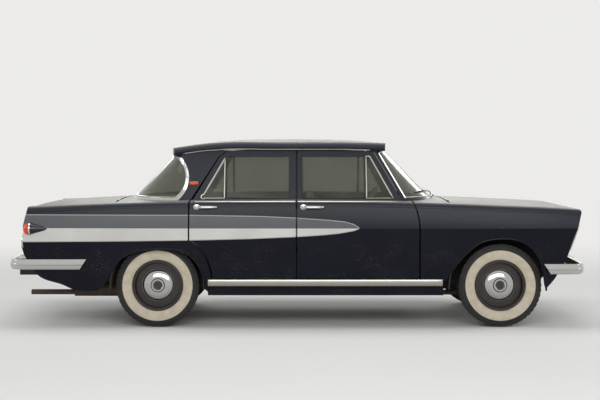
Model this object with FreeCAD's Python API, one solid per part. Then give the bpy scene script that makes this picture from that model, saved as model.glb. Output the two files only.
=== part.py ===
"""A four-door saloon car of the late 1950s, in millimetres.

+X points to the front of the car, +Y to its left side and +Z up. The origin is on the ground, under the
middle of the car's length and width. The body is a shell of separate panels, doors and lids round an open
cabin, on a floor with its axles, springs and engine.
"""

import FreeCAD, Part
import math
import os
from FreeCAD import Vector

# Overall sizes
overall_length = 4620.0
overall_width = 1700.0
roof_height = 1490.0
wheelbase = 2707.0
front_overhang = 701.0
track = 1380.0
half_length = overall_length / 2
half_width = overall_width / 2
front_axle_x = half_length - front_overhang
rear_axle_x = front_axle_x - wheelbase

# Cutting tools run past what they cut
overrun = 60.0
fine_step = 1.0
far_side = 1200.0
cut_top = 1800.0

# Lower body
belt_height = 1000.0
crease_height = 780.0
sill_top = 382.0
sill_bottom = 331.0
shoulder_lean = 24.0
shoulder_roll = 46.0
sill_lean = 38.0
side_bulge = 5.0
panel_thickness = 8.0
hull_station_shares = (-1.0, -0.76, -0.48, -0.17, 0.17, 0.48, 0.76, 1.02)
hull_width_shares = (0.925, 0.962, 0.99, 1.0, 1.0, 0.993, 0.972, 0.938)
hull_deck_shares = (0.945, 0.966, 0.988, 1.0, 1.0, 0.981, 0.955, 0.917)
hull_crown_shares = (0.944, 0.983, 1.008, 1.012, 1.012, 0.998, 0.966, 0.912)

# Nose and tail, seen from the side
nose_setback = 61.0
nose_rake = 125.0
nose_x = half_length - nose_setback
nose_arc_shares = ((0.07, 0.931), (0.0, 0.905))
nose_shares = ((0.28, 0.78), (1.0, 0.54), (1.75, 0.38), (2.2, 0.315))
nose_top_share = (0.24, 0.945)
tail_setback = 127.0
tail_rake = 80.0
tail_x = tail_setback - half_length
tail_arc_shares = ((0.76, 0.95), (0.70, 0.93))
tail_top_share = (0.95, 0.957)
tail_shares = ((0.0, 0.684), (0.45, 0.574), (1.42, 0.449), (2.3, 0.386))
tail_belly_shares = ((4.2, 0.339), (5.2, 0.303), (7.45, 0.289))
corner_radius = 32.0

# Wheels and arches
tyre_diameter = 656.0
tyre_width = 165.0
rim_diameter = 400.0
axle_z = tyre_diameter / 2
wheel_y = track / 2
front_arch_reach = 400.0
front_arch_rise = 372.0
front_arch_shares = (
    (-1.25, -0.05), (-1.128, 0.10), (-0.8725, 0.47), (-0.6575, 0.72), (-0.4475, 0.895),
    (-0.02, 1.0), (0.4275, 0.917), (0.725, 0.6075), (0.8525, 0.078), (0.90, -0.2),
)
rear_arch_reach = 440.0
rear_arch_rise = 294.0
rear_arch_shares = (
    (-1.12, -0.2), (-0.86, 0.25), (-0.68, 0.667), (-0.40, 0.915), (0.08, 1.0),
    (0.482, 0.915), (0.764, 0.497), (0.86, 0.1), (0.91, -0.2),
)

# Cabin walls above the belt line, as plan outlines at two heights
cabin_low_z = 960.0
cabin_high_z = 1440.0
screen_base_x = 1176.0
screen_top_x = 712.0
screen_side_low_x = 860.0
screen_side_low_y = 690.0
screen_side_high_x = 610.0
screen_side_high_y = 543.0
cabin_mid_low_y = 707.0
cabin_mid_high_y = 558.0
rear_side_low_x = -870.0
rear_side_high_x = -925.0
rear_side_low_y = 678.0
rear_side_high_y = 540.0
rear_base_x = -1423.0
rear_top_x = -963.0
rear_low_shares = ((0.38, 0.951), (0.76, 0.693), (0.95, 0.325))
rear_high_shares = ((0.62, 0.88), (0.93, 0.62), (0.99, 0.3))
screen_curve_shares = ((0.42, 0.86), (0.78, 0.55))
slant_share = 1.4
frame_thickness = 28.0
pillar_thickness = 38.0
glass_inset = 11.0
glass_thickness = 5.0

# Roof
roof_thickness = 26.0
roof_station_shares = (-0.51, -0.43, -0.29, -0.10, 0.10, 0.24, 0.37)
roof_crown_shares = (0.921, 0.952, 0.9845, 0.9985, 0.9975, 0.989, 0.9695)
roof_rail_shares = (0.892, 0.907, 0.934, 0.938, 0.938, 0.9355, 0.929)
roof_under_shares = (0.896, 0.912, 0.945, 0.955, 0.955, 0.953, 0.952)
roof_width_shares = (0.62, 0.648, 0.676, 0.687, 0.685, 0.674, 0.65)
roof_rail_rise = 20.0
roof_shoulder = 62.0
roof_shoulder_rise = 44.0
roof_front_x = 742.0
roof_front_bow = 70.0
roof_rear_x = -1040.0
roof_rear_bow = 126.0
header_width = 66.0

# Doors
door_gap = 12.0
lid_gap = 8.0
middle_x = 0.0
front_door_x = 961.0
front_door_shoulder_x = 905.0
door_bottom = 392.0
door_thickness = 60.0
door_step = 34.0
rear_door_x = -840.0
rear_door_arch_top = 685.0
rear_door_arch_points_shares = ((0.52, 0.80), (0.74, 0.57), (0.96, 0.20))
rear_door_foot_x = -660.0
front_frame_low_x = 835.0
front_frame_high_x = 615.0
frame_low_z = 1003.0
frame_high_z = 1386.0
rear_frame_low_x = -826.0
rear_frame_high_x = -618.0
frame_corner_x = -560.0
frame_corner_z = 1344.0

# Side windows
window_sill = 1012.0
window_head = 1346.0
front_window_rear_x = 44.0
front_window_front_low_x = 770.0
front_window_front_high_x = 588.0
rear_window_front_x = -57.0
rear_window_rear_low_x = -757.0
rear_window_rear_high_x = -578.0
window_bar = 14.0
front_vent_x = 544.0
rear_vent_x = -562.0

# Hinges of the side doors
hinge_inset = 35.0
hinge_reach = 29.0
hinge_barrel_radius = 6.0
hinge_pin_radius = 3.5
hinge_clearance = 0.05
hinge_low_z = 620.0
hinge_high_z = 800.0
hinge_heights = (hinge_low_z, hinge_high_z)
hinge_length = 34.0
hinge_plate = 5.0
hinge_arm_length = 80.0
hinge_arm_angle = 26.0
hinge_play = 0.3
hinge_fork = 8.0

# Inner posts and sills
post_outer = 72.0
post_inner = 118.0
post_half_width = 42.0
upper_post_half_width = 26.0
front_post_x = 975.0
jamb_thickness = 10.0
sill_rear_x = -700.0
sill_front_x = 1158.0

# Frames and openings of the windscreen and the rear window
frame_skin_share = 0.36
frame_step = 12.0
roof_gap = 7.0
screen_pillar = 34.0
screen_sill = 1014.0
screen_head_side = 1372.0
screen_head_front = 1404.0
rear_opening_low_x = -962.0
rear_opening_mid_x = -880.0
rear_opening_mid_z = 1160.0
rear_opening_high_x = -971.0
rear_opening_sill = 1014.0
rear_opening_head = 1344.0
rear_frame_width = 16.0
pillar_top_z = 1392.0

# Bonnet, boot lid and the fixed panels at the ends
bonnet_half_width = 700.0
bonnet_hinge_x = 1215.0
bonnet_hinge_z = 990.0
bonnet_hinge_y = 560.0
deck_half_width = 664.0
boot_hinge_x = -1440.0
boot_hinge_z = 989.0
boot_hinge_y = 520.0
shelf_front_x = -900.0
lid_barrel_radius = 7.0
lid_barrel_length = 60.0
lid_strap_length = 60.0
boot_lip_z = 640.0
tail_recess = 30.0
tail_panel_foot = 400.0
nose_recess = 60.0
nose_foot = 330.0
skin_bottom = 289.0
post_inner_y = 640.0

# Grille and lamps
grille_half_width = 540.0
grille_bottom = 640.0
grille_top = 850.0
grille_frame = 14.0
grille_bar = 12.0
grille_bar_count = 7
grille_post_shares = (-0.5, 0.0, 0.5)
lamp_rim = 10.0
tip_radius = 4.0
lamp_lens_depth = 50.0
lamp_proud = 24.0
tail_lamp_radius = 47.0
tail_lamp_length = 210.0
tail_lamp_x = -2152.0
tail_lamp_y = 797.0
tail_lamp_z = 779.0
headlamp_y = 672.0
headlamp_z = 748.0
headlamp_radius = 88.0
headlamp_depth = 150.0
side_lamp_z = 577.0
side_lamp_radius = 40.0

# Bumpers
bumper_depth = 38.0
bumper_height = 80.0
bumper_corner = 105.0
bumper_slant = 52.0
bumper_section_shares = (
    (0.0, 0.05), (0.55, 0.0), (0.75, 0.12), (0.8, 0.38), (1.0, 0.5), (0.8, 0.62), (0.75, 0.88),
    (0.55, 1.0), (0.0, 0.95), (0.3, 0.85), (0.3, 0.15),
)
front_bumper_z = 424.0
front_bumper_side_x = 1942.0
front_bumper_corner_x = 2283.0
rear_bumper_z = 461.0
rear_bumper_side_x = -1650.0
rear_bumper_corner_x = -2275.0

# Floor
floor_z = 252.0
floor_half_width = 700.0
keel_width = 70.0
tunnel_front_radius = 165.0
tunnel_rear_radius = 105.0
front_rail_end = 1900.0
rear_rail_end = -1950.0
front_house_radius = 405.0
front_house_y = 411.0
rear_house_radius = 365.0
rear_house_y = 542.0
arch_foot_z = 300.0
axle_slot_radius = 85.0
floor_thickness = 12.0
firewall_x = 1010.0
kick_x = -600.0
boot_floor_z = 430.0
rail_y = 380.0
rail_width = 62.0
rail_bottom = 330.0
rail_height = 100.0
rear_rail_y = 430.0

# Engine, shaft, exhaust and tank
engine_rear_x = 1330.0
engine_front_x = 1790.0
engine_half_width = 170.0
engine_bottom = 300.0
engine_top = 800.0
gearbox_radius = 85.0
gearbox_rear_x = 600.0
shaft_z = 300.0
shaft_radius = 28.0
radiator_depth = 50.0
radiator_half_width = 300.0
radiator_bottom = 450.0
radiator_top = 820.0
exhaust_y = 260.0
exhaust_radius = 21.0
exhaust_bend = 90.0
exhaust_low_z = 216.0
exhaust_high_z = 400.0
exhaust_rise_x = -700.0
exhaust_arch = 170.0
silencer_y = 400.0
silencer_z = 262.0
silencer_radius = 60.0
silencer_front_x = -1463.0
silencer_rear_x = -1812.0
tailpipe_z = 236.0
tailpipe_end_x = -2170.0
tank_front_x = -1500.0
tank_rear_x = -1900.0
tank_right_y = 300.0
tank_left_y = 390.0
tank_bottom = 262.0

# Running gear
kingpin_y = 615.0
kingpin_radius = 10.0
arm_low_z = 228.0
arm_high_z = 420.0
arm_half_width = 32.0
arm_thickness = 26.0
cross_half_length = 60.0
cross_half_width = 420.0
damper_y = 500.0
damper_radius = 26.0
brake_y = 652.0
brake_plate = 8.0
drum_radius = 128.0
stub_radius = 17.0
stub_end_y = 700.0
wheel_seat_y = 662.0
axle_radius = 38.0
diff_radius = 95.0
diff_front_x = -930.0
spring_y = 500.0
spring_reach = 460.0
spring_rise = 60.0
leaf_count = 4
leaf_thickness = 9.0
leaf_width = 52.0
rim_width = 140.0
rim_flange = 14.0
disc_offset = 20.0
disc_thickness = 5.0
hub_bore = 17.3
hub_radius = 52.0
cap_radius = 125.0
cap_depth = 40.0
tread_half_width = 62.0
tread_drop = 5.0

# Inside the cabin
dash_rear_x = 905.0
dash_bottom = 760.0
dash_top = 930.0
dash_lip = 20.0
dash_half_width = 600.0
seat_front_x = 590.0
seat_lip = 40.0
seat_top = 560.0
seat_back_x = 150.0
seat_back_depth = 130.0
seat_back_top_x = 60.0
seat_back_top = 1069.0
seat_half_width = 610.0
rear_seat_front_x = -330.0
rear_seat_back_x = -820.0
rear_seat_top_x = -930.0
rear_seat_top = 960.0
rear_seat_half_width = 530.0
steering_x = 600.0
steering_y = 350.0
steering_z = 905.0
steering_radius = 200.0
steering_rim = 11.0
steering_boss = 30.0
steering_spokes = 3
column_radius = 16.0
column_length = 462.0
column_angle = 58.0


def at_plane(plane, a, b):
    """A point of a drawing plane, xz, xy or yz, as a vector."""
    if plane == "xz":
        return Vector(a, 0, b)
    if plane == "xy":
        return Vector(a, b, 0)
    return Vector(0, a, b)


def edges_along(plane, start, steps):
    """Edges from a start point. A step is a point for a line, or a list of points for an arc or a curve."""
    here = at_plane(plane, *start)
    edges = []
    for step in steps:
        if isinstance(step, tuple):
            there = at_plane(plane, *step)
            if here.isEqual(there, 0):
                continue
            edges.append(Part.LineSegment(here, there).toShape())
        else:
            points = [at_plane(plane, *p) for p in step]
            there = points[-1]
            if len(points) == 2:
                edges.append(Part.Arc(here, points[0], there).toShape())
            else:
                curve = Part.BSplineCurve()
                curve.interpolate([here] + points)
                edges.append(curve.toShape())
        here = there
    return edges, here


def outline(plane, start, *steps):
    """A closed face in a drawing plane."""
    edges, here = edges_along(plane, start, steps)
    first = at_plane(plane, *start)
    if not here.isEqual(first, hinge_clearance / 100):
        edges.append(Part.LineSegment(here, first).toShape())
    return Part.Face(Part.Wire(edges))


def prism(face, plane, low, high):
    """The face pushed from low to high along the normal of its drawing plane."""
    along = {"xz": Vector(0, 1, 0), "xy": Vector(0, 0, 1), "yz": Vector(1, 0, 0)}[plane]
    moved = face.copy()
    moved.translate(along * low)
    return moved.extrude(along * (high - low))


def box(x0, x1, y0, y1, z0, z1):
    return Part.makeBox(x1 - x0, y1 - y0, z1 - z0, Vector(x0, y0, z0))


def both_sides(solid):
    """A solid and its mirror image on the other side of the car."""
    return Part.makeCompound([solid, mirrored(solid)])


def mirrored(solid):
    return solid.mirror(Vector(0, 0, 0), Vector(0, 1, 0))


def scaled_points(shares, x0, x_size, z0, z_size):
    return [(x0 + sx * x_size, z0 + sz * z_size) for sx, sz in shares]


def arc_middle(a, b, sag):
    """The middle point of a flat arc from a to b that stands sag to the right of the way from a to b."""
    dx, dz = b[0] - a[0], b[1] - a[1]
    length = math.hypot(dx, dz)
    return ((a[0] + b[0]) / 2 + sag * dz / length, (a[1] + b[1]) / 2 - sag * dx / length)


def section_wire(x, points):
    """A closed wire across the car at x, from a list of its right-hand corner points and arc middles."""
    def at(p, side):
        return Vector(x, side * p[0], p[1])
    edges = []
    foot = points[0]
    edges.append(Part.LineSegment(at(foot, -1), at(foot, 1)).toShape())
    here = foot
    for middle, there in points[1]:
        edges.append(Part.Arc(at(here, 1), at(middle, 1), at(there, 1)).toShape())
        here = there
    crown = Vector(x, 0, points[2])
    edges.append(Part.Arc(at(here, 1), crown, at(here, -1)).toShape())
    back = [foot] + [there for _, there in points[1]]
    for index in range(len(points[1]) - 1, -1, -1):
        middle = points[1][index][0]
        edges.append(Part.Arc(at(back[index + 1], -1), at(middle, -1), at(back[index], -1)).toShape())
    return Part.Wire(edges)


hull_store = {}


def hull_loft(inset):
    """The lower body as one solid, with its sides and deck moved in by inset and its foot left open."""
    if inset in hull_store:
        return hull_store[inset]
    wires = []
    diagonal = math.sqrt(0.5)
    for station, width, deck, crown in zip(
        hull_station_shares, hull_width_shares, hull_deck_shares, hull_crown_shares
    ):
        x = station * half_length
        crease = (half_width * width - inset, crease_height)
        foot = (crease[0] - sill_lean, floor_z - overrun)
        roll = max(shoulder_roll - inset, shoulder_roll / 4)
        top = deck * belt_height - inset
        shoulder = (crease[0] - shoulder_lean, top - roll)
        brow = (shoulder[0] - roll, top)
        roll_middle = (shoulder[0] - roll * (1 - diagonal), shoulder[1] + roll * diagonal)
        steps = (
            (arc_middle(foot, crease, side_bulge), crease),
            (arc_middle(crease, shoulder, side_bulge / 2), shoulder),
            (roll_middle, brow),
        )
        wires.append(section_wire(x, (foot, steps, crown * belt_height - inset)))
    hull_store[inset] = Part.makeLoft(wires, True, False)
    return hull_store[inset]


def side_envelope():
    """The car's ends and belly seen from the side, as a face."""
    nose_arc = scaled_points(nose_arc_shares, nose_x, -nose_rake, 0, belt_height)
    nose_top = scaled_points((nose_top_share,), nose_x, -nose_rake, 0, belt_height)[0]
    nose = scaled_points(nose_shares, nose_x, -nose_rake, 0, belt_height)
    tail_arc = scaled_points(tail_arc_shares, tail_x, tail_rake, 0, belt_height)
    tail_top = scaled_points((tail_top_share,), tail_x, tail_rake, 0, belt_height)[0]
    tail = scaled_points(tail_shares, tail_x, tail_rake, 0, belt_height)
    belly = scaled_points(tail_belly_shares, tail_x, tail_rake, 0, belt_height)
    return outline(
        "xz",
        (tail_top[0], cut_top),
        (nose_top[0], cut_top),
        nose_top,
        nose_arc,
        nose[0],
        nose[1],
        nose[2],
        nose[3],
        (nose[3][0], -overrun),
        (belly[-1][0], -overrun),
        belly[-1],
        [belly[1], belly[0], tail[3], tail[2]],
        tail[1],
        tail[0],
        tail_arc[1],
        [tail_arc[0], tail_top],
    )


def plan_envelope():
    """The car's ends seen from above, with rounded corners, as a face."""
    nose_half = half_width * hull_width_shares[-1]
    tail_half = half_width * hull_width_shares[0]
    r = corner_radius
    soft = r * (1 - math.sqrt(0.5))
    return outline(
        "xy",
        (nose_x + fine_step, nose_half - r),
        [(nose_x - soft, nose_half - soft), (nose_x - r, nose_half)],
        (nose_x - 4 * r, half_width + overrun),
        (tail_x + 4 * r, half_width + overrun),
        (tail_x + r, tail_half),
        [(tail_x + soft, tail_half - soft), (tail_x, tail_half - r)],
        (tail_x, r - tail_half),
        [(tail_x + soft, soft - tail_half), (tail_x + r, -tail_half)],
        (tail_x + 4 * r, -half_width - overrun),
        (nose_x - 4 * r, -half_width - overrun),
        (nose_x - r, -nose_half),
        [(nose_x - soft, soft - nose_half), (nose_x + fine_step, r - nose_half)],
    )


def envelope():
    """The space between the car's ends, with its rounded corners."""
    return prism(side_envelope(), "xz", -far_side, far_side).common(
        prism(plan_envelope(), "xy", -overrun, cut_top))


def hull(inset, space):
    """The lower body cut to its nose, tail and rounded corners, and moved in by inset."""
    return hull_loft(inset).common(space)


def cabin_curve(points, z):
    line = Part.BSplineCurve()
    line.interpolate([Vector(x, y, z) for x, y in points])
    return line.toShape()


def cabin_wire(z, inset, high):
    """One plan outline of the cabin walls: a windscreen curve, two sides and a rear window curve."""
    if high:
        front_x, side_x, side_y = screen_top_x, screen_side_high_x, screen_side_high_y
        mid_y, back_y, rear_x = cabin_mid_high_y, rear_side_high_y, rear_top_x
        back_x = rear_side_high_x
        back_shares = rear_high_shares
    else:
        front_x, side_x, side_y = screen_base_x, screen_side_low_x, screen_side_low_y
        mid_y, back_y, rear_x = cabin_mid_low_y, rear_side_low_y, rear_base_x
        back_x = rear_side_low_x
        back_shares = rear_low_shares
    front_x -= inset * slant_share
    rear_x += inset * slant_share
    side_x -= inset / 2
    side_y -= inset
    mid_y -= inset
    back_x += inset / 2
    back_y -= inset
    bow = front_x - side_x
    depth = rear_x - back_x
    front_half = [(side_x + bow * sx, side_y * sy) for sx, sy in screen_curve_shares]
    back_half = [(back_x + depth * sx, back_y * sy) for sx, sy in back_shares]
    front = [(side_x, -side_y)] + [(x, -y) for x, y in front_half] + [(front_x, 0)]
    front += list(reversed(front_half)) + [(side_x, side_y)]
    back = [(back_x, back_y)] + back_half + [(rear_x, 0)]
    back += [(x, -y) for x, y in reversed(back_half)] + [(back_x, -back_y)]
    left = Part.Arc(Vector(side_x, side_y, z), Vector(0, mid_y, z), Vector(back_x, back_y, z)).toShape()
    right = Part.Arc(Vector(back_x, -back_y, z), Vector(0, -mid_y, z), Vector(side_x, -side_y, z)).toShape()
    return Part.Wire([cabin_curve(front, z), left, cabin_curve(back, z), right])


cabin_store = {}


def cabin(inset):
    """The space inside the cabin walls, from just under the belt to inside the roof, moved in by inset."""
    if inset not in cabin_store:
        low = cabin_wire(cabin_low_z, inset, False)
        high = cabin_wire(cabin_high_z, inset, True)
        cabin_store[inset] = Part.makeLoft([low, high], True, True)
    return cabin_store[inset]


def cabin_wall(outer, inner):
    return cabin(outer).cut(cabin(inner))


def cabin_well(inset):
    """A straight-sided well below the cabin walls, which clears the cabin out of the lower body."""
    return prism(Part.Face(cabin_wire(0, inset, False)), "xy", -overrun, cabin_low_z)


def cabin_room(inset):
    return cabin(inset).fuse(cabin_well(inset))


def roof_loft(inset):
    wires = []
    for station, crown, rail, under, width in zip(
        roof_station_shares, roof_crown_shares, roof_rail_shares, roof_under_shares, roof_width_shares
    ):
        x = station * half_length
        edge = (half_width * width - inset, rail * roof_height)
        wall = (edge[0] - inset / 4, edge[1] + roof_rail_rise - inset / 2)
        brow = (wall[0] - roof_shoulder + inset / 4, wall[1] + roof_shoulder_rise - inset / 2)
        crown_z = crown * roof_height - inset
        middle = (wall[0] - roof_shoulder * 0.3, wall[1] + roof_shoulder_rise * 0.66)
        if inset:
            edge = (edge[0], edge[1] - overrun)
            under_z = edge[1]
        else:
            under_z = under * roof_height
        at = [Vector(x, edge[0], edge[1]), Vector(x, wall[0], wall[1]), Vector(x, brow[0], brow[1])]
        mirror = [Vector(v.x, -v.y, v.z) for v in at]
        if inset:
            floor = Part.LineSegment(mirror[0], at[0]).toShape()
        else:
            floor = Part.Arc(mirror[0], Vector(x, 0, under_z), at[0]).toShape()
        edges = [
            floor,
            Part.LineSegment(at[0], at[1]).toShape(),
            Part.Arc(at[1], Vector(x, *middle), at[2]).toShape(),
            Part.Arc(at[2], Vector(x, 0, crown_z), mirror[2]).toShape(),
            Part.Arc(mirror[2], Vector(x, -middle[0], middle[1]), mirror[1]).toShape(),
            Part.LineSegment(mirror[1], mirror[0]).toShape(),
        ]
        wires.append(Part.Wire(edges))
    return Part.makeLoft(wires, True, False)


def roof_plan(inset):
    """The roof panel seen from above, with a bowed front and rear edge, moved in by inset."""
    side = half_width
    front = roof_front_x - inset
    rear = roof_rear_x + inset
    return outline(
        "xy",
        (front - roof_front_bow, -side),
        [(front, 0), (front - roof_front_bow, side)],
        (rear + roof_rear_bow, side),
        [(rear, 0), (rear + roof_rear_bow, -side)],
    )


def roof_body():
    return roof_loft(0).common(prism(roof_plan(0), "xy", belt_height, cut_top))


def make_roof(roof_solid):
    inner = roof_loft(roof_thickness).common(prism(roof_plan(header_width), "xy", belt_height, cut_top))
    return roof_solid.cut(inner)


def arch(shares, axle_x, reach, rise):
    points = scaled_points(shares, axle_x, reach, axle_z, rise)
    face = outline("xz", (points[0][0], -overrun), points[0], points[1:], (points[-1][0], -overrun))
    return prism(face, "xz", -far_side, far_side)


def front_arch():
    return arch(front_arch_shares, front_axle_x, front_arch_reach, front_arch_rise)


def rear_arch():
    return arch(rear_arch_shares, rear_axle_x, rear_arch_reach, rear_arch_rise)


def front_door_front(shift):
    """The front door's leading edge, from its foot to the belt, moved forward by shift."""
    shoulder_z = belt_height - shoulder_roll
    return (
        (front_door_x + shift, door_bottom),
        (front_door_x + shift, crease_height),
        [
            (front_door_x + shift - (front_door_x - front_door_shoulder_x) * 0.25,
             (crease_height + shoulder_z) / 2 + shoulder_roll / 2),
            (front_door_shoulder_x + shift, belt_height + side_bulge),
        ],
    )


def front_door_outline(grow):
    """The front door seen from the side, grown by grow all round."""
    low, high, curve = front_door_front(grow)
    return outline(
        "xz",
        (middle_x + door_gap / 2 - grow, door_bottom - grow),
        (low[0], low[1] - grow),
        high,
        curve,
        (front_frame_low_x + grow, frame_low_z + grow),
        (front_frame_high_x + grow, frame_high_z + grow),
        (front_frame_high_x - overrun + grow, cut_top),
        (middle_x + door_gap / 2 - grow, cut_top),
    )


def rear_door_rear(shift):
    """The rear door's trailing edge round the wheel arch, from its foot up, moved back by shift."""
    width = rear_door_foot_x - rear_door_x
    height = rear_door_arch_top - door_bottom
    curve = [
        (rear_door_x + width * sx - shift, door_bottom + height * sz)
        for sx, sz in reversed(rear_door_arch_points_shares)
    ]
    return (rear_door_foot_x - shift, door_bottom), curve + [(rear_door_x - shift, rear_door_arch_top)]


def rear_door_outline(grow):
    """The rear door seen from the side, grown by grow all round."""
    foot, curve = rear_door_rear(grow)
    return outline(
        "xz",
        (middle_x - door_gap / 2 + grow, door_bottom - grow),
        (middle_x - door_gap / 2 + grow, cut_top),
        (frame_corner_x - grow, cut_top),
        (frame_corner_x - grow, frame_high_z),
        (rear_frame_high_x - grow, frame_corner_z),
        (rear_frame_low_x - grow, frame_low_z + grow),
        (rear_door_x - grow, frame_low_z - side_bulge),
        (rear_door_x - grow, rear_door_arch_top),
        list(reversed(curve[:-1])) + [(foot[0], door_bottom - grow)],
    )


def front_door_core():
    """The thick inner part of the front door, stepped back from the skin's edge."""
    return outline(
        "xz",
        (middle_x + door_gap / 2 + door_step, door_bottom + door_step / 2),
        (front_door_x - door_step, door_bottom + door_step / 2),
        (front_door_x - door_step, crease_height),
        (front_door_shoulder_x - door_step, belt_height),
        (front_door_shoulder_x - door_step, cut_top),
        (middle_x + door_gap / 2 + door_step, cut_top),
    )


def rear_door_core():
    """The thick inner part of the rear door, stepped back from the skin's edge."""
    foot, curve = rear_door_rear(-door_step)
    return outline(
        "xz",
        (middle_x - door_gap / 2 - door_step, door_bottom + door_step / 2),
        (middle_x - door_gap / 2 - door_step, cut_top),
        (rear_door_x + door_step, cut_top),
        (rear_door_x + door_step, rear_door_arch_top),
        list(reversed(curve[:-1])) + [(foot[0], foot[1] + door_step / 2)],
    )


def front_windows():
    """The front door's main window and its quarter light, as two faces seen from the side."""
    slope = (front_window_front_low_x - front_window_front_high_x) / (window_head - window_sill)
    corner = window_bar
    main = outline(
        "xz",
        (front_window_rear_x, window_sill),
        (front_vent_x, window_sill),
        (front_vent_x, window_head),
        (front_window_rear_x, window_head),
    )
    vent = outline(
        "xz",
        (front_vent_x + window_bar, window_sill),
        (front_window_front_low_x, window_sill),
        (front_window_front_high_x + slope * corner, window_head - corner),
        [(front_window_front_high_x, window_head - corner / 4),
         (front_window_front_high_x - corner, window_head)],
        (front_vent_x + window_bar, window_head),
    )
    return [main, vent]


def rear_windows():
    """The rear door's main window and its three-cornered quarter light."""
    corner = window_bar * 2
    main = outline(
        "xz",
        (rear_window_front_x, window_sill),
        (rear_window_front_x, window_head),
        (rear_vent_x, window_head),
        (rear_vent_x, window_sill),
    )
    slope = (rear_window_rear_high_x - rear_window_rear_low_x) / (window_head - window_sill)
    vent = outline(
        "xz",
        (rear_vent_x - window_bar, window_sill),
        (rear_vent_x - window_bar, window_head - window_bar),
        (rear_window_rear_low_x + slope * corner, window_sill + corner),
        [(rear_window_rear_low_x - slope * corner / 4, window_sill + corner / 4),
         (rear_window_rear_low_x + corner, window_sill)],
    )
    return [main, vent]


def hinge_y():
    """The hinge lines' distance from the car's middle, just inside the crease of the body side."""
    return half_width - hinge_inset


def hinge_arm(x, z):
    """A left door's hinge barrel and the plate that joins it to the door's core."""
    low = z - hinge_length / 2
    barrel = Part.makeCylinder(hinge_barrel_radius, hinge_length, Vector(x, hinge_y(), low))
    plate = box(-hinge_arm_length, 0, -hinge_plate / 2, hinge_plate / 2, 0, hinge_length)
    plate.rotate(Vector(0, 0, 0), Vector(0, 0, 1), hinge_arm_angle)
    plate.translate(Vector(x, hinge_y(), low))
    bore = Part.makeCylinder(hinge_pin_radius + hinge_clearance, hinge_length, Vector(x, hinge_y(), low))
    return barrel.fuse(plate).cut(bore)


def hinge_bracket(x, z):
    """The two leaves on the left body post that hold one hinge pin, with the pin."""
    low = z - hinge_length / 2
    leaf_height = hinge_fork - hinge_play
    pin = Part.makeCylinder(hinge_pin_radius, hinge_length + hinge_fork * 2,
                            Vector(x, hinge_y(), low - hinge_fork))
    depth = post_outer - hinge_inset + panel_thickness * 3
    parts = []
    for foot in (low - hinge_fork, low + hinge_length + hinge_play):
        parts.append(box(x - hinge_barrel_radius, x + hinge_barrel_radius, hinge_y() - depth, hinge_y(),
                         foot, foot + leaf_height))
        parts.append(Part.makeCylinder(hinge_barrel_radius, leaf_height, Vector(x, hinge_y(), foot)))
    return pin.fuse(parts)


def make_door(s, door_face, inner_face, core_face, windows, hinge_x):
    """One left door: a skin, a thick core, a window frame in two layers and its hinge arms."""
    door = prism(door_face, "xz", 0, far_side)
    ring = door.cut(prism(core_face, "xz", 0, far_side))
    lower = s["lower"].common(door)
    lower = lower.cut([s["lower_door"], s["room"], ring.common(s["lower_8"]), s["screen_foot_space"]])
    outer = s["frame_outer"].common(door)
    inner = s["frame_inner"].common(prism(inner_face, "xz", 0, far_side))
    frame = outer.fuse(inner).cut(
        [s["roof_gap"], s["screen_foot_space"]] + [prism(face, "xz", 0, far_side) for face in windows])
    return lower.fuse([frame] + [hinge_arm(hinge_x, z) for z in hinge_heights])


def make_glass(s, windows):
    """The panes of one left door."""
    return [s["glass_wall"].common(prism(face, "xz", 0, far_side)) for face in windows]


def screen_line(shift, z):
    """A point of the windscreen pillar's slanted rear edge at a height, moved forward by shift."""
    slope = (front_frame_high_x - front_frame_low_x) / (frame_high_z - frame_low_z)
    return (front_frame_low_x + slope * (z - frame_low_z) + shift, z)


def screen_opening():
    """The windscreen's opening seen from the side."""
    return outline(
        "xz",
        screen_line(screen_pillar, screen_sill),
        (half_length, screen_sill),
        (half_length, screen_head_front),
        (roof_front_x, screen_head_front),
        screen_line(screen_pillar, screen_head_side),
    )


def rear_opening(grow, low, high):
    """The rear window's opening seen from the side, grown by grow at its edges."""
    return outline(
        "xz",
        (-half_length, low),
        (rear_opening_low_x + grow, low),
        (rear_opening_low_x + grow, rear_opening_sill - grow),
        [(rear_opening_mid_x + grow, rear_opening_mid_z),
         (rear_opening_high_x + grow, rear_opening_head + grow)],
        (rear_opening_high_x + grow, high),
        (-half_length, high),
    )


def make_screens(s):
    """The windscreen frame and rear window frame with their two panes of curved glass."""
    opening = prism(screen_opening(), "xz", -far_side, far_side)
    zone = outline(
        "xz",
        screen_line(lid_gap, cabin_low_z),
        (half_length, cabin_low_z),
        (half_length, cabin_high_z),
        screen_line(lid_gap, cabin_high_z),
    )
    wall = s["frame_wall"].common(prism(zone, "xz", -far_side, far_side))
    frame = wall.cut(opening).cut(s["lower"]).cut(s["roof_body"])
    pane = s["glass_wall"].common(opening)
    rear_hole = prism(rear_opening(0, rear_opening_sill, rear_opening_head), "xz", -far_side, far_side)
    rear_zone = prism(rear_opening(rear_frame_width, cabin_low_z, pillar_top_z), "xz", -far_side, far_side)
    rear_frame = s["frame_wall"].common(rear_zone).cut(rear_hole).cut(s["lower"]).cut(s["roof_body"])
    rear_pane = s["glass_wall"].common(rear_hole)
    return frame, pane, rear_frame, rear_pane


def make_front_wing(s):
    """The left front wing, from the door's front edge to the nose."""
    zone = outline(
        "xz",
        (front_door_x + door_gap, sill_top),
        (front_door_x + door_gap, crease_height),
        front_door_front(door_gap)[2],
        (front_door_shoulder_x + door_gap, cut_top),
        (half_length + overrun, cut_top),
        (half_length + overrun, skin_bottom),
        (sill_front_x, skin_bottom),
        (sill_front_x, sill_top),
    )
    region = prism(zone, "xz", bonnet_half_width, far_side)
    return s["skin"].common(region).cut(s["front_arch"]).cut(s["lamp_hole"])


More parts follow.
